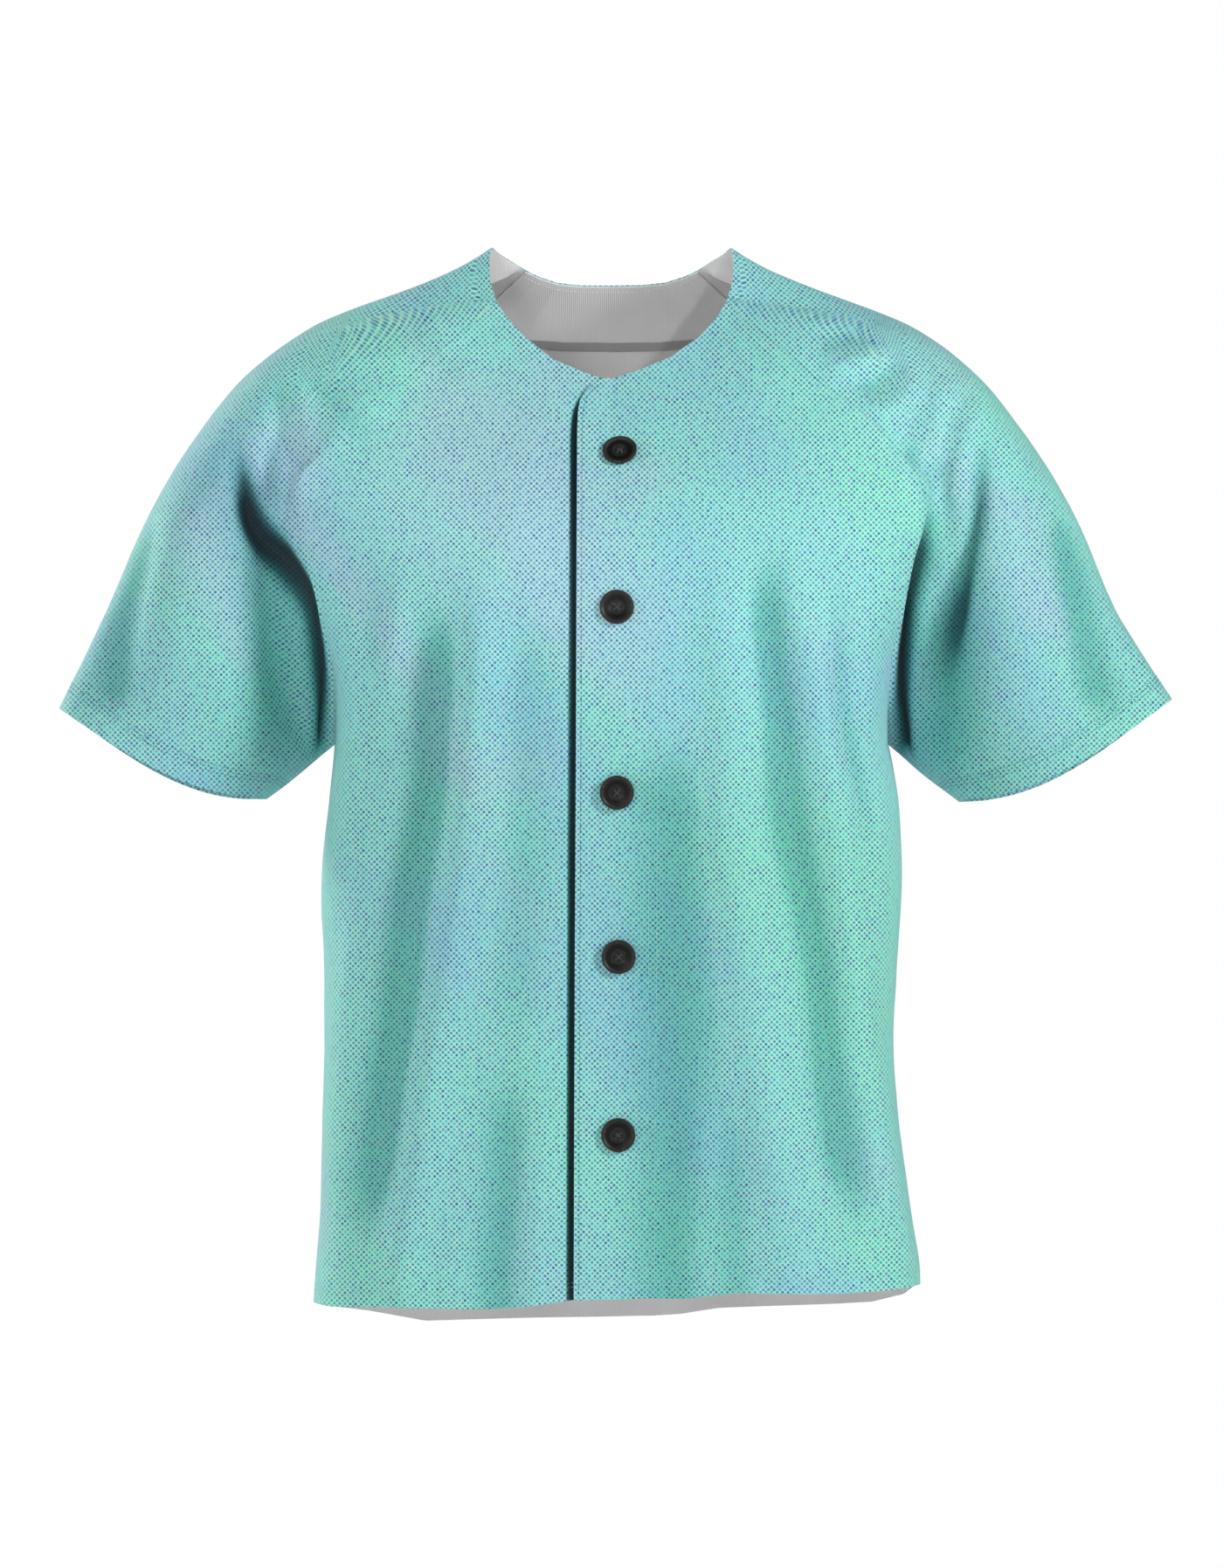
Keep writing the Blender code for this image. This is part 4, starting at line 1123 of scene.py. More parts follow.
def printed_knit(name, settings):
    """Knit printed with small blue dots on a ground that drifts between mint, aqua, sky and lilac, darkened by painted
    shade in folds, hollows and under the lap's edge.
    """
    nodes = Nodes(name)
    place = nodes.add("ShaderNodeUVMap", uv_map="cloth").outputs["UV"]
    ground_place = nodes.add("ShaderNodeTexCoord").outputs["Object"]
    turned = nodes.add("ShaderNodeVectorRotate", rotation_type="Y_AXIS")
    nodes.feed(turned.inputs["Vector"], ground_place)
    nodes.feed(turned.inputs["Angle"], math.radians(38.0))
    drawn = nodes.vector("MULTIPLY", turned.outputs["Vector"], (1.0, 0.7, 0.5))
    tone = nodes.noise(drawn, 8.0, 1.6, 0.5)
    tint = nodes.noise(nodes.vector("ADD", drawn, (3.1, 1.7, 5.3)), 9.0, 1.6, 0.6)
    small = nodes.noise(place, 260.0, 2.0)
    drift = nodes.math("MULTIPLY_ADD", small, 0.12, nodes.math("SUBTRACT", tone, 0.06))
    ramp = nodes.add("ShaderNodeValToRGB", {"Fac": drift})
    stops = ramp.color_ramp.elements
    stops[0].position = 0.30
    stops[0].color = (*settings.mint, 1.0)
    stops[1].position = 0.70
    stops[1].color = (*settings.sky, 1.0)
    middle = stops.new(0.47)
    middle.color = (*settings.aqua, 1.0)
    ground = nodes.mix(
        nodes.math("MULTIPLY", nodes.step(tint, 0.54, 0.74), 0.6), ramp.outputs["Color"], tuple(settings.lilac)
    )
    lattice = nodes.add("ShaderNodeMapping", {"Vector": place})
    lattice.inputs["Rotation"].default_value = (0.0, 0.0, math.radians(45.0))
    lattice.inputs["Scale"].default_value = (1.0 / settings.dot_pitch, 1.0 / settings.dot_pitch, 0.0)
    cell = nodes.vector("FLOOR", lattice.outputs["Vector"])
    chance = nodes.add("ShaderNodeTexWhiteNoise", {"Vector": cell}, noise_dimensions="3D")
    spread = nodes.add("ShaderNodeSeparateColor", {"Color": chance.outputs["Color"]})
    within = nodes.vector("SUBTRACT", nodes.vector("FRACTION", lattice.outputs["Vector"]), (0.5, 0.5, 0.0))
    shift = nodes.vector("SUBTRACT", chance.outputs["Color"], (0.5, 0.5, 0.5))
    shaken = nodes.vector("ADD", within, nodes.vector("MULTIPLY", shift, (0.12, 0.12, 0.0)))
    far = nodes.vector("LENGTH", shaken)
    radius = settings.dot_size / settings.dot_pitch / 2
    edge = nodes.math("MULTIPLY_ADD", spread.outputs[0], 0.08, radius - 0.04)
    inside = nodes.math("SUBTRACT", 1.0, nodes.step(nodes.math("SUBTRACT", far, edge), -0.07, 0.07))
    turned_away = nodes.add("ShaderNodeAttribute", attribute_name="turned").outputs["Fac"]
    blurred = nodes.math("MULTIPLY", turned_away, 0.8)
    inside = nodes.math("MULTIPLY_ADD", nodes.math("SUBTRACT", 0.33, inside), blurred, inside)
    strength = nodes.math("MULTIPLY_ADD", spread.outputs[1], 0.4, 0.6)
    dot = nodes.mix(nodes.math("MULTIPLY", spread.outputs[2], 0.25), tuple(settings.dots), tuple(settings.sky))
    dotted = nodes.mix(nodes.math("MULTIPLY", inside, strength), ground, dot)
    between = nodes.vector("FRACTION", nodes.vector("ADD", lattice.outputs["Vector"], (0.5, 0.5, 0.0)))
    speck_far = nodes.vector("LENGTH", nodes.vector("SUBTRACT", between, (0.5, 0.5, 0.0)))
    speck_cell = nodes.vector("FLOOR", nodes.vector("ADD", lattice.outputs["Vector"], (0.5, 0.5, 0.0)))
    speck_chance = nodes.add("ShaderNodeTexWhiteNoise", {"Vector": speck_cell}, noise_dimensions="3D")
    speck_spread = nodes.add("ShaderNodeSeparateColor", {"Color": speck_chance.outputs["Color"]})
    speck = nodes.math("SUBTRACT", 1.0, nodes.step(speck_far, 0.12, 0.30))
    speck_colour = nodes.mix(speck_spread.outputs[0], (0.60, 0.76, 0.26), (0.66, 0.54, 0.80))
    speck_share = nodes.math("MULTIPLY", speck, nodes.math("MULTIPLY", speck_spread.outputs[1], 1.0))
    colour = nodes.mix(speck_share, dotted, speck_colour)
    # Painted shade: the colour is multiplied towards dark teal as the painted shade mark rises
    sunk = nodes.add("ShaderNodeAttribute", attribute_name="sunk").outputs["Fac"]
    painted_shade_ramp = nodes.add("ShaderNodeValToRGB", {"Fac": sunk})
    stops = painted_shade_ramp.color_ramp.elements
    stops[0].color = (1.0, 1.0, 1.0, 1.0)
    stops[1].color = (0.008, 0.04, 0.055, 1.0)
    for place_at, tone_there in ((0.3, (0.52, 0.76, 0.72, 1.0)), (0.7, (0.05, 0.21, 0.22, 1.0))):
        stops.new(place_at).color = tone_there
    colour = nodes.mix(1.0, colour, painted_shade_ramp.outputs["Color"], "MULTIPLY")
    nodes.bump(knit_height(nodes, place), 0.00012, 0.35)
    rough = nodes.math("MULTIPLY_ADD", nodes.noise(place, 90.0, 1.0), 0.12, 0.70)
    return nodes.finish(colour, rough, 0.08)


def plain_knit(name, colour):
    """Unprinted side of the knit: fine ribs and a slight unevenness of tone."""
    nodes = Nodes(name)
    place = nodes.add("ShaderNodeUVMap", uv_map="cloth").outputs["UV"]
    parts = nodes.add("ShaderNodeSeparateXYZ", {"Vector": place})
    ribs = nodes.math("SINE", nodes.math("MULTIPLY", parts.outputs[0], FULL_TURN / 0.0011))
    tone = nodes.noise(place, 40.0, 3.0)
    dark = tuple(0.86 * value for value in colour)
    blend = nodes.math("MULTIPLY_ADD", ribs, 0.18, nodes.math("MULTIPLY", tone, 0.7))
    nodes.bump(nodes.math("ADD", ribs, nodes.noise(place, 600.0, 2.0)), 0.00015, 0.4)
    return nodes.finish(nodes.mix(blend, tuple(colour), dark), 0.82, 0.05)


def herringbone(name, colour):
    """Narrow tape woven in zigzags."""
    nodes = Nodes(name)
    place = nodes.add("ShaderNodeUVMap", uv_map="cloth").outputs["UV"]
    parts = nodes.add("ShaderNodeSeparateXYZ", {"Vector": place})
    wave = nodes.math("PINGPONG", parts.outputs[1], 0.0019)
    stripe = nodes.math("SINE", nodes.math("MULTIPLY", nodes.math("ADD", parts.outputs[0], wave), FULL_TURN / 0.0014))
    share = nodes.step(stripe, -0.5, 0.5)
    nodes.bump(stripe, 0.0003, 0.5)
    light = tuple(min(1.0, 1.35 * value) for value in colour)
    dark = tuple(0.82 * value for value in colour)
    return nodes.finish(nodes.mix(share, dark, light), 0.7, 0.05)


def thread_material(name, colour):
    """Twisted sewing thread."""
    nodes = Nodes(name)
    place = nodes.add("ShaderNodeTexCoord").outputs["Object"]
    tone = nodes.noise(place, 900.0, 2.0)
    dark = tuple(0.7 * value for value in colour)
    return nodes.finish(nodes.mix(nodes.step(tone, 0.35, 0.65), dark, tuple(colour)), 0.6)


def button_plastic(name, colour):
    """Near-black moulded plastic with faint flecks. The grooves are painted darker as shade, and the flecks show only
    on the rim and middle, as painted speckled highlights there.
    """
    nodes = Nodes(name)
    place = nodes.add("ShaderNodeTexCoord").outputs["Object"]
    cells = nodes.add("ShaderNodeTexVoronoi", {"Vector": place, "Scale": 1300.0})
    fleck = nodes.step(cells.outputs["Distance"], 0.28, 0.12)
    chance = nodes.add("ShaderNodeSeparateColor", {"Color": cells.outputs["Color"]})
    seldom = nodes.math("MULTIPLY", fleck, nodes.step(chance.outputs[0], 0.5, 0.7))
    hue = nodes.mix(chance.outputs[1], (0.34, 0.29, 0.16), (0.10, 0.24, 0.25))
    rough = nodes.math("MULTIPLY_ADD", nodes.noise(place, 700.0, 2.0), 0.2, 0.34)
    nodes.shader.inputs["Specular IOR Level"].default_value = 0.18
    # Painted light and shade: rim and middle keep the plastic colour and its flecks, the grooves between are painted
    # almost black
    raised = nodes.add("ShaderNodeAttribute", attribute_name="raised").outputs["Fac"]
    body = nodes.mix(raised, (0.002, 0.002, 0.002), tuple(colour))
    share = nodes.math("MULTIPLY", nodes.math("MULTIPLY", seldom, 0.8), raised)
    return nodes.finish(nodes.mix(share, body, hue), rough)


def plain_surface(name, colour, roughness):
    nodes = Nodes(name)
    place = nodes.add("ShaderNodeTexCoord").outputs["Object"]
    tone = nodes.noise(place, 3.0, 2.0)
    dark = tuple(0.985 * value for value in colour)
    return nodes.finish(nodes.mix(tone, colour, dark), roughness)


def at_distance(lines, values, distance):
    """The values held along each line of an array of lines, read at a distance from its start."""
    found = []
    for line, held in zip(lines, values):
        run = lengths(line)
        found.append([np.interp(distance, run, held[:, axis]) for axis in range(3)])
    return np.array(found)


def inset_row(panel, edge, distance, keep=slice(None)):
    """Line that runs at a distance from one edge of a panel, with the normals there."""
    turns = {
        "left": lambda grid: grid,
        "right": lambda grid: grid[:, ::-1],
        "bottom": lambda grid: grid.transpose(1, 0, 2),
        "top": lambda grid: grid[::-1].transpose(1, 0, 2),
    }
    grid = turns[edge](panel["grid"])[keep]
    normal = turns[edge](panel["normal"])[keep]
    return at_distance(grid, grid, distance), unit(at_distance(grid, normal, distance))


def closed_row(row):
    points, normals = row
    return np.concatenate([points, points[:1]]), np.concatenate([normals, normals[:1]])


def surface_tree(panel):
    grid = panel["grid"]
    columns = grid.shape[1]
    i, j = np.meshgrid(np.arange(grid.shape[0] - 1), np.arange(columns - 1), indexing="ij")
    low = (i * columns + j).ravel()
    faces = np.stack([low, low + 1, low + columns + 1, low + columns], axis=1)
    return BVHTree.FromPolygons(grid.reshape(-1, 3).tolist(), faces.tolist())


def cast_row(panel, flat, offset):
    """Line on the front of a panel over a line drawn in front view, moved sideways by an offset."""
    tree = surface_tree(panel)
    drawn = np.array([(x * MM, 0.0, z * MM) for x, z in flat])
    bent = through(np.arange(len(drawn)), drawn, np.linspace(0, len(drawn) - 1, DENSE))
    fine = spaced(bent, np.linspace(0.0, 1.0, 300))
    heading = unit(np.gradient(fine, axis=0))
    moved = fine + offset * np.stack([-heading[:, 2], 0.0 * heading[:, 0], heading[:, 0]], axis=1)
    points = []
    normals = []
    for x, _, z in moved:
        at, normal, _, _ = tree.ray_cast(mathutils.Vector((x, -1.0, z)), mathutils.Vector((0.0, 1.0, 0.0)))
        if at is None:
            continue
        points.append(at)
        normals.append(-normal if normal.y > 0 else normal)
    return np.array(points), np.array(normals)


def stitch_mesh(name, rows, settings, material, lift=0.0):
    """Separate stitches laid along each row: small rounded bars pressed into the cloth."""
    width = settings.thread
    corners = []
    for points, normals in rows:
        run = lengths(points)
        count = int(run[-1] / settings.pitch)
        if count < 2:
            continue
        pitch = run[-1] / count
        start = (np.arange(count) + 0.14) * pitch
        places = []
        for at in (start, start + 0.18 * pitch, start + 0.54 * pitch, start + 0.72 * pitch):
            places.append(np.stack([np.interp(at, run, points[:, axis]) for axis in range(3)], axis=1))
        up = np.stack([np.interp(start, run, normals[:, axis]) for axis in range(3)], axis=1)
        up = unit(up)
        side = unit(np.cross(up, unit(places[3] - places[0])))
        high = lift + 0.05 * width
        parts = [places[0] + up * (high - 0.3 * width)]
        for middle in places[1:3]:
            centre = middle + up * high
            parts += [
                centre + side * width / 2,
                centre + up * 0.62 * width,
                centre - side * width / 2,
                centre - up * 0.5 * width,
            ]
        parts.append(places[3] + up * (high - 0.3 * width))
        corners.append(np.stack(parts, axis=1))
    points = np.concatenate(corners)
    count = len(points)
    bar = [(0, 2, 1), (0, 3, 2), (0, 4, 3), (0, 1, 4)]
    bar += [(9, 5, 6), (9, 6, 7), (9, 7, 8), (9, 8, 5)]
    quads = [(1, 2, 6, 5), (2, 3, 7, 6), (3, 4, 8, 7), (4, 1, 5, 8)]
    faces = []
    for index in range(count):
        base = 10 * index
        faces += [tuple(base + corner for corner in face) for face in bar + quads]
    mesh = bpy.data.meshes.new(name)
    mesh.from_pydata(points.reshape(-1, 3).tolist(), [], faces)
    mesh.materials.append(material)
    made = linked(name, mesh)
    make_active(made)
    bpy.ops.object.mode_set(mode="EDIT")
    bpy.ops.mesh.select_all(action="SELECT")
    bpy.ops.mesh.normals_make_consistent(inside=False)
    bpy.ops.object.mode_set(mode="OBJECT")
    bpy.ops.object.shade_smooth()
    return made


class JERSEY_OT_panels(bpy.types.Operator):
    """Build the fronts, the back and the sleeves"""

    bl_idname = "jersey.panels"
    bl_label = "Panels"

    def execute(self, context):
        settings = context.scene.jersey_cloth
        printed = {
            "front_right": ("right_front_cloth", (0.34, 0.72), 0.197),
            "front_left": ("left_front_cloth", (0.34, 0.72), 0.192),
            "back": ("back_cloth", (0.575, 0.76), 0.3475),
            "sleeve_right": ("right_sleeve_cloth", (0.50, 0.49), 0.148),
            "sleeve_left": ("left_sleeve_cloth", (0.50, 0.49), 0.148),
        }
        wrong_side = plain_knit("knit_wrong_side", settings.wrong_side)
        for name, panel in panels_of(settings).items():
            slot, flat, area = printed[name]
            face = printed_knit(f"{slot}_print", settings)
            outer = pulled_in(panel["grid"], panel["closed"], settings.seam_gap)
            inner = outer - panel["normal"] * settings.wall
            if panel["closed"]:
                uv = sleeve_uv(panel, 1.0 if name == "sleeve_left" else -1.0)
                turned = round(settings.cuff_turn / settings.spacing)
            else:
                uv = body_uv(panel)
                turned = 0
            made = cloth_object(
                f"{name}_panel",
                outer,
                inner,
                panel["closed"],
                panel["flip"],
                uv,
                (face, wrong_side),
                turned,
                {mark: panel[mark] for mark in ("sunk", "turned")},
            )
            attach(made, BODY)
            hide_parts(name)
        return {"FINISHED"}


class JERSEY_OT_facing(bpy.types.Operator):
    """Build the facing inside the back neck and the tape over its lower edge"""

    bl_idname = "jersey.facing"
    bl_label = "Neck facing"

    def execute(self, context):
        settings = context.scene.jersey_cloth
        panel = panels_of(settings)["back"]
        rows, first = row_levels(settings.spacing)
        start = first + int(np.searchsorted(np.array(rows[first:]) - 1.0, FACING_SHARE))
        grid = pulled_in(panel["grid"][start:], False, settings.seam_gap)
        normal = panel["normal"][start:]
        outer = grid - normal * (settings.wall + settings.seam_gap)
        inner = outer - normal * FACING_WALL
        uv = body_uv({"grid": grid, "first": 0})
        # Painted light: the facing is a slightly lighter copy of the wrong side, to brighten the shaded inside of the
        # neck
        cloth = plain_knit("facing_knit", tuple(1.04 * value for value in settings.wrong_side))
        facing = cloth_object("neck_facing", outer, inner, False, True, uv, (cloth,))
        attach(facing, BODY)
        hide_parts("back_neck_facing")
        lines = inner[:, 2:-2].transpose(1, 0, 2)
        lift = normal[:1, 2:-2]
        heights = np.linspace(0.0, TAPE_WIDTH, TAPE_ROWS)
        near = np.array([at_distance(lines, lines, height) for height in heights]) - lift * TAPE_GAP
        uv = np.stack(np.meshgrid(lengths(near[0]), heights), axis=2)
        weave = herringbone("facing_tape_weave", (0.40, 0.40, 0.41))
        tape = cloth_object("facing_tape_strip", near, near - lift * TAPE_WALL, False, True, uv, (weave,))
        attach(tape, BODY)
        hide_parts("facing_tape")
        return {"FINISHED"}


class JERSEY_OT_stitching(bpy.types.Operator):
    """Sew the seams, hems, cuffs, facing and front edge"""

    bl_idname = "jersey.stitching"
    bl_label = "Stitching"

    def execute(self, context):
        cloth = context.scene.jersey_cloth
        settings = context.scene.jersey_stitches
        panels = panels_of(cloth)
        light = thread_material("seam_thread", tuple(settings.colour))
        dark = thread_material("edge_thread", (0.02, 0.12, 0.14))
        white = thread_material("neck_thread", (0.72, 0.72, 0.72))
        blue = thread_material("cuff_thread", (0.05, 0.17, 0.33))
        above = slice(panels["back"]["first"] + 1, -1)
        for side, front in (("right", "front_right"), ("left", "front_left")):
            back_edge = "left" if side == "right" else "right"
            rows = [inset_row(panels[front], "right", distance, above) for distance in SEAM_ROWS]
            rows += [inset_row(panels["back"], back_edge, distance, above) for distance in SEAM_ROWS]
            self.sew(f"{side}_raglan_stitches", rows, settings, light, f"{side}_sleeve_cloth")
            sleeve = panels[f"sleeve_{side}"]
            cuffs = [
                closed_row(inset_row(sleeve, "top", settings.cuff_depth + distance))
                for distance in (0, settings.row_gap / 2, settings.row_gap)
            ]
            self.sew(f"{side}_cuff_stitches", cuffs, settings, blue, f"{side}_sleeve_cloth")
        hems = []
        for name in ("front_right", "front_left", "back"):
            for distance in HEM_ROWS:
                hems.append(inset_row(panels[name], "bottom", settings.hem_depth + distance, slice(1, -1)))
        self.sew("hem_stitches", hems, settings, light, "back_cloth")
        rows = []
        half = settings.row_gap / 2
        for offset in (-half, half):
            rows.append(cast_row(panels["front_left"], FACING_ROW, offset))
            rows.append(cast_row(panels["front_right"], UNDER_FACING_ROW, offset))
        self.sew("facing_stitches", rows, settings, light, "left_front_cloth")
        edge = inset_row(panels["front_left"], "left", FRONT_EDGE_ROW, slice(1, -2))
        self.sew("front_edge_stitches", [edge], settings, dark, "left_front_cloth")
        points, normals = inset_row(panels["back"], "top", NECK_ROW, slice(2, -2))
        inside = points - normals * (cloth.wall + cloth.seam_gap + NECK_THREAD)
        self.sew("neck_stitches", [(inside, -normals)], settings, white, "facing_cloth")
        return {"FINISHED"}

    def sew(self, name, rows, settings, material, slot):
        made = stitch_mesh(name, rows, settings, material)
        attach(made, BODY)


def select_cap(mesh, sides, above):
    """Selects only the flat face with this many sides that looks up, above a height."""
    for face in mesh.polygons:
        face.select = face.normal.z > 0.99 and len(face.vertices) == sides and face.center.z > above


def button_blank(settings):
    """Button with a rounded rim, a dished middle and four holes, lying flat at the origin."""
    radius = settings.radius
    deselect_all()
    height = BUTTON_HEIGHT * radius
    bpy.ops.mesh.primitive_cylinder_add(
        vertices=settings.steps, radius=radius, depth=height, location=(0, 0, BUTTON_HEIGHT / 2 * radius)
    )
    blank = bpy.context.object
    blank.name = "button_blank"
    bpy.ops.object.transform_apply(location=True, rotation=False, scale=False)
    for wide, rise in BUTTON_STEPS:
        select_cap(blank.data, settings.steps, 0.5 * height)
        bpy.ops.object.mode_set(mode="EDIT")
        bpy.ops.mesh.select_mode(type="FACE")
        bpy.ops.mesh.inset(thickness=wide * radius)
        bpy.ops.transform.translate(value=(0.0, 0.0, rise * radius))
        bpy.ops.object.mode_set(mode="OBJECT")
    for number in range(4):
        angle = math.radians(45.0 + 90.0 * number)
        x = HOLE_PLACE * radius * math.sqrt(2) * math.cos(angle)
        y = HOLE_PLACE * radius * math.sqrt(2) * math.sin(angle)
        deselect_all()
        bpy.ops.mesh.primitive_cylinder_add(
            vertices=HOLE_SIDES, radius=settings.hole, depth=radius, location=(x, y, 0.0)
        )
        drill = bpy.context.object
        make_active(blank)
        cut = blank.modifiers.new("hole", "BOOLEAN")
        cut.operation = "DIFFERENCE"
        cut.solver = "EXACT"
        cut.object = drill
        bpy.ops.object.modifier_apply(modifier="hole")
        bpy.data.objects.remove(drill)
    make_active(blank)
    bevel = blank.modifiers.new("edges", "BEVEL")
    bevel.width = BUTTON_ROUNDING * radius
    bevel.segments = 2
    bevel.limit_method = "ANGLE"
    bevel.angle_limit = math.radians(50.0)
    bpy.ops.object.modifier_apply(modifier="edges")
    smooth(blank, 40.0)
    wide = np.array([math.hypot(point.co.x, point.co.y) for point in blank.data.vertices]) / radius
    # Share of painted light: 1 on the rim, 0.8 in the middle, none in the grooves, which are painted darker as shade
    raised = eased(wide, 0.70, 0.78) + 0.8 * eased(-wide, -0.5, -0.42)
    held = blank.data.attributes.new("raised", "FLOAT", "POINT")
    held.data.foreach_set("value", raised.astype(np.float32))
    return blank


def thread_cross(settings):
    """Two crossed bundles of thread over the holes of a button."""
    parts = []
    radius = settings.radius
    for turn in (45.0, 135.0):
        for offset in (-STRAND_GAP, 0.0, STRAND_GAP):
            deselect_all()
            bpy.ops.mesh.primitive_cylinder_add(
                vertices=8, radius=STRAND_RADIUS * radius, depth=STRAND_LENGTH * radius,
                location=(0.0, offset * radius, STRAND_HEIGHT * radius),
                rotation=(0.0, math.pi / 2, 0.0),
            )
            strand = bpy.context.object
            bpy.ops.object.transform_apply(location=True, rotation=True, scale=True)
            bpy.ops.object.mode_set(mode="EDIT")
            bpy.ops.mesh.select_all(action="SELECT")
            bpy.ops.mesh.subdivide(number_cuts=3)
            bpy.ops.object.mode_set(mode="OBJECT")
            for vertex in strand.data.vertices:
                share = abs(vertex.co.x) / (STRAND_LENGTH / 2 * radius)
                vertex.co.z -= STRAND_DROOP * radius * share**3
                if turn > 90:
                    vertex.co.z += STRAND_RISE * radius * (1.0 - share)
            strand.data.transform(mathutils.Matrix.Rotation(math.radians(turn), 4, "Z"))
            parts.append(strand)
    deselect_all()
    for part in parts:
        part.select_set(True)
    bpy.context.view_layer.objects.active = parts[0]
    bpy.ops.object.join()
    parts[0].name = "button_thread"
    smooth(parts[0], 60.0)
    return parts[0]


def button_frames():
    """Name of each solid button and the matrix that seats a button there, from its mesh."""
    frames = []
    for number in range(1, 6):
        name = f"button_{number}"
        points = np.array([vertex.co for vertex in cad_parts[name].data.vertices])
        middle = points.mean(axis=0)
        _, _, axes = np.linalg.svd(points - middle, full_matrices=False)
        normal = mathutils.Vector(axes[2])
        if normal.y > 0:
            normal = -normal
        along = points @ np.array(normal)
        seat = along.min()
        right = mathutils.Vector((1.0, 0.0, 0.0))
        upward = normal.cross(right).normalized()
        right = upward.cross(normal).normalized()
        matrix = mathutils.Matrix((right, upward, normal)).transposed().to_4x4()
        flat = (points @ np.array((right, upward)).T)
        centre = (flat.min(axis=0) + flat.max(axis=0)) / 2
        matrix.translation = right * centre[0] + upward * centre[1] + normal * seat
        frames.append((name, matrix))
    return frames


class JERSEY_OT_buttons(bpy.types.Operator):
    """Mould one button, sew it and copy it to the five places on the front"""

    bl_idname = "jersey.buttons"
    bl_label = "Buttons"

    def execute(self, context):
        settings = context.scene.jersey_buttons
        blank = button_blank(settings)
        blank.data.materials.clear()
        blank.data.materials.append(button_plastic("button_plastic_flecked", tuple(settings.colour)))
        cross = thread_cross(settings)
        cross.data.materials.clear()
        cross.data.materials.append(thread_material("button_thread_dark", (0.03, 0.03, 0.035)))
        for name, matrix in button_frames():
            made = linked(f"{name}_moulded", blank.data.copy())
            made.data.transform(matrix)
            sewn = linked(f"{name}_thread", cross.data.copy())
            sewn.data.transform(matrix)
            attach(made, BODY)
            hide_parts(name)
            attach(sewn, BODY)
        bpy.data.objects.remove(blank)
        bpy.data.objects.remove(cross)
        return {"FINISHED"}


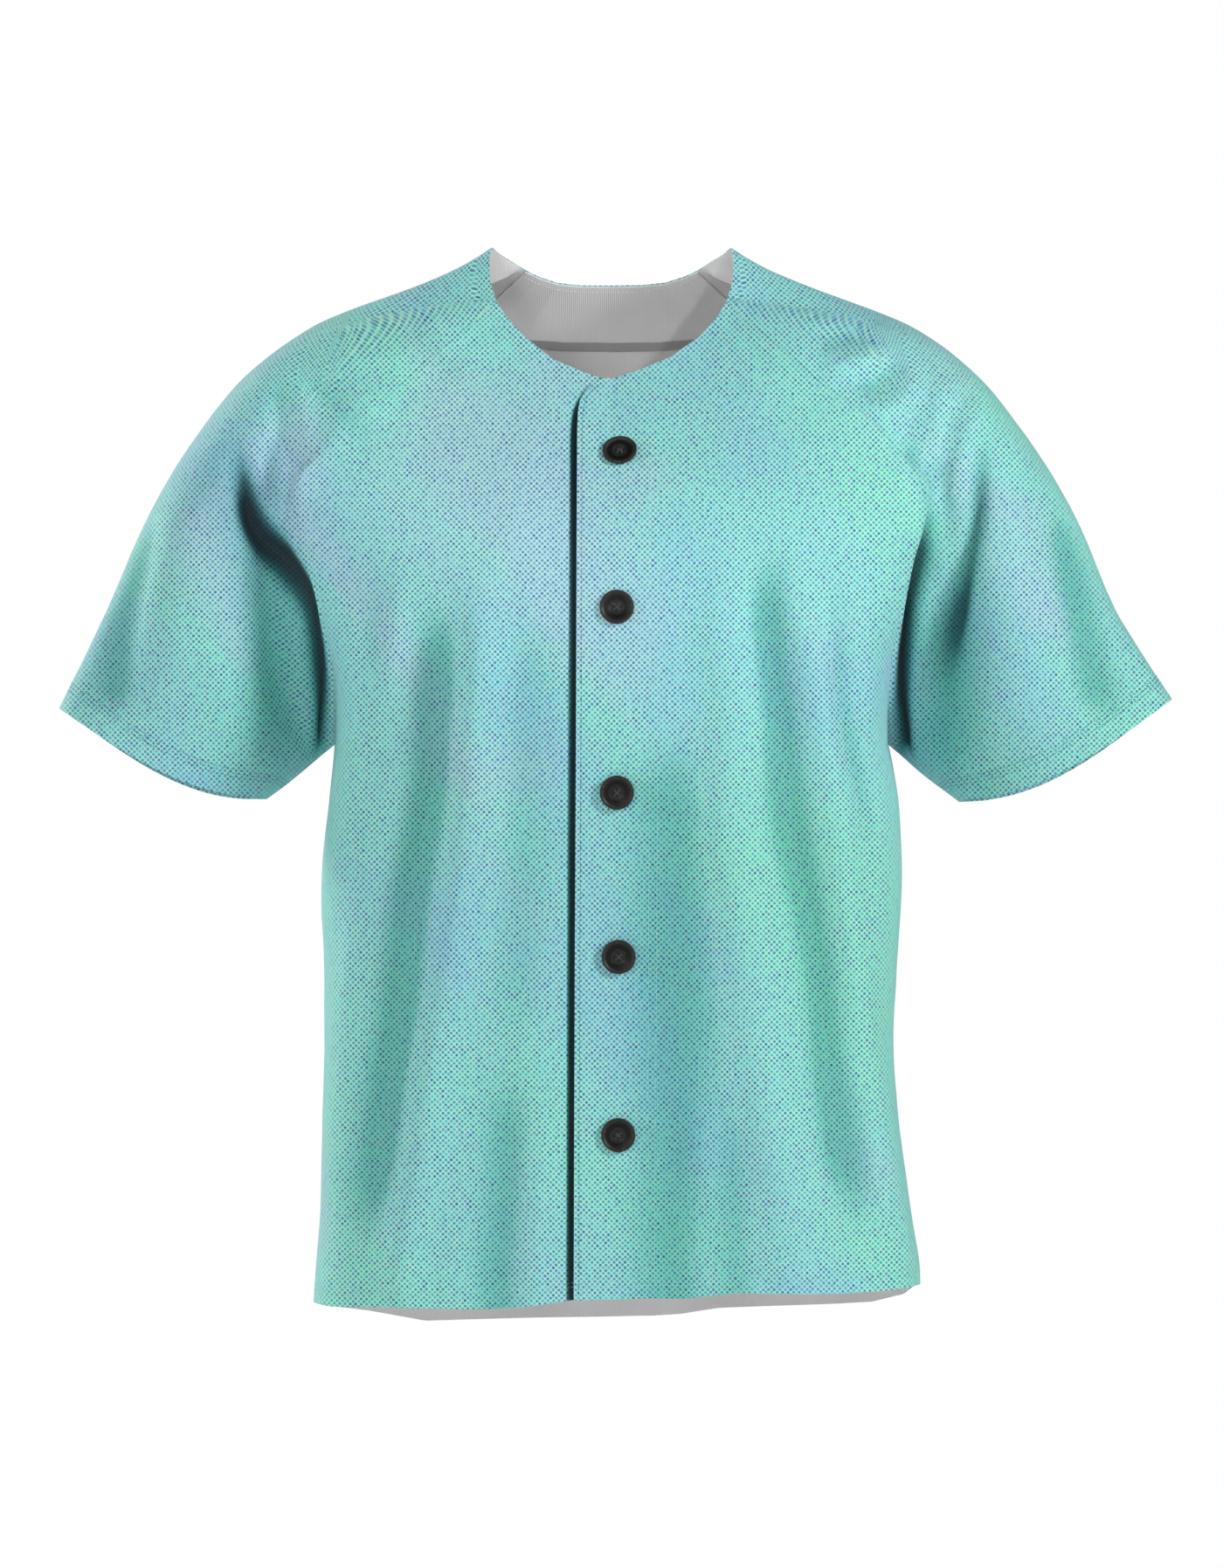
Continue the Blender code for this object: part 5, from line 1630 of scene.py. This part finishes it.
class JERSEY_OT_stage(bpy.types.Operator):
    """Set the floor, the backdrop, the lights and the camera"""

    bl_idname = "jersey.stage"
    bl_label = "Stage"

    def execute(self, context):
        settings = context.scene.jersey_stage
        scene = context.scene
        deselect_all()
        bpy.ops.mesh.primitive_plane_add(size=14.0, location=(0.0, 0.0, settings.floor))
        floor = bpy.context.object
        floor.name = "floor"
        bpy.ops.object.transform_apply(location=True, rotation=True, scale=True)
        floor.data.materials.append(plain_surface("pale_floor", (0.92, 0.92, 0.92), 0.9))
        floor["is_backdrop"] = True
        for name, place, size, power in LIGHTS:
            data = bpy.data.lights.new(name, "AREA")
            data.shape = "DISK"
            data.size = size
            self.light(data, place, LIGHT_AIM, power)
        data = bpy.data.lights.new("neck_spot", "SPOT")
        data.spot_size = math.radians(NECK_LIGHT_WIDTH)
        data.spot_blend = 0.9
        data.shadow_soft_size = 0.35
        self.light(data, NECK_LIGHT_PLACE, NECK_LIGHT_AIM, settings.neck_power)
        world = bpy.data.worlds.new("pale_surroundings")
        world.use_nodes = True
        tree = world.node_tree
        seen = tree.nodes.new("ShaderNodeBackground")
        seen.inputs["Color"].default_value = (1.0, 1.0, 1.0, 1.0)
        soft = tree.nodes["Background"]
        soft.inputs["Color"].default_value = (1.0, 1.0, 1.0, 1.0)
        soft.inputs["Strength"].default_value = settings.ambient
        mixed = tree.nodes.new("ShaderNodeMixShader")
        tree.links.new(tree.nodes.new("ShaderNodeLightPath").outputs["Is Camera Ray"], mixed.inputs[0])
        tree.links.new(soft.outputs[0], mixed.inputs[1])
        tree.links.new(seen.outputs[0], mixed.inputs[2])
        tree.links.new(mixed.outputs[0], tree.nodes["World Output"].inputs["Surface"])
        scene.world = world
        data = bpy.data.cameras.new("camera")
        data.lens = data.sensor_width * settings.distance / settings.height
        data.clip_end = 100.0
        camera = linked("camera", data)
        camera.location = (0.0, -settings.distance, settings.aim)
        camera.rotation_euler = (math.pi / 2, 0.0, 0.0)
        scene.camera = camera
        scene.view_settings.view_transform = "Standard"
        return {"FINISHED"}

    def light(self, data, place, aim, power):
        data.energy = power
        lamp = linked(data.name, data)
        lamp.location = place
        lamp.rotation_euler = (mathutils.Vector(aim) - lamp.location).to_track_quat("-Z", "Y").to_euler()


class JERSEY_PT_build(bpy.types.Panel):
    """Sidebar panel with the steps that build the jersey"""

    bl_label = "Jersey"
    bl_idname = "JERSEY_PT_build"
    bl_space_type = "VIEW_3D"
    bl_region_type = "UI"
    bl_category = "Jersey"

    def draw(self, context):
        for operator in OPERATORS:
            self.layout.operator(operator.bl_idname)
        for name, _ in SETTINGS:
            held = getattr(context.scene, name)
            for key in held.bl_rna.properties.keys():
                if key not in ("rna_type", "name"):
                    self.layout.prop(held, key)


OPERATORS = (JERSEY_OT_panels, JERSEY_OT_facing, JERSEY_OT_stitching, JERSEY_OT_buttons, JERSEY_OT_stage)
SETTINGS = (
    ("jersey_cloth", JerseyCloth),
    ("jersey_stitches", JerseyStitches),
    ("jersey_buttons", JerseyButtons),
    ("jersey_stage", JerseyStage),
)


def register():
    for name, group in SETTINGS:
        bpy.utils.register_class(group)
        setattr(bpy.types.Scene, name, bpy.props.PointerProperty(type=group))
    for operator in OPERATORS:
        bpy.utils.register_class(operator)
    bpy.utils.register_class(JERSEY_PT_build)


def unregister():
    bpy.utils.unregister_class(JERSEY_PT_build)
    for operator in reversed(OPERATORS):
        bpy.utils.unregister_class(operator)
    for name, group in reversed(SETTINGS):
        delattr(bpy.types.Scene, name)
        bpy.utils.unregister_class(group)


def corners(box):
    return [list(corner) for corner in box]


def main():
    register()
    bpy.ops.jersey.panels()
    bpy.ops.jersey.facing()
    bpy.ops.jersey.stitching()
    bpy.ops.jersey.buttons()
    bpy.ops.jersey.stage()
    {"cad": corners(CAD_BOX), "visual": corners(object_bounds())}


if __name__ == "__main__":
    main()
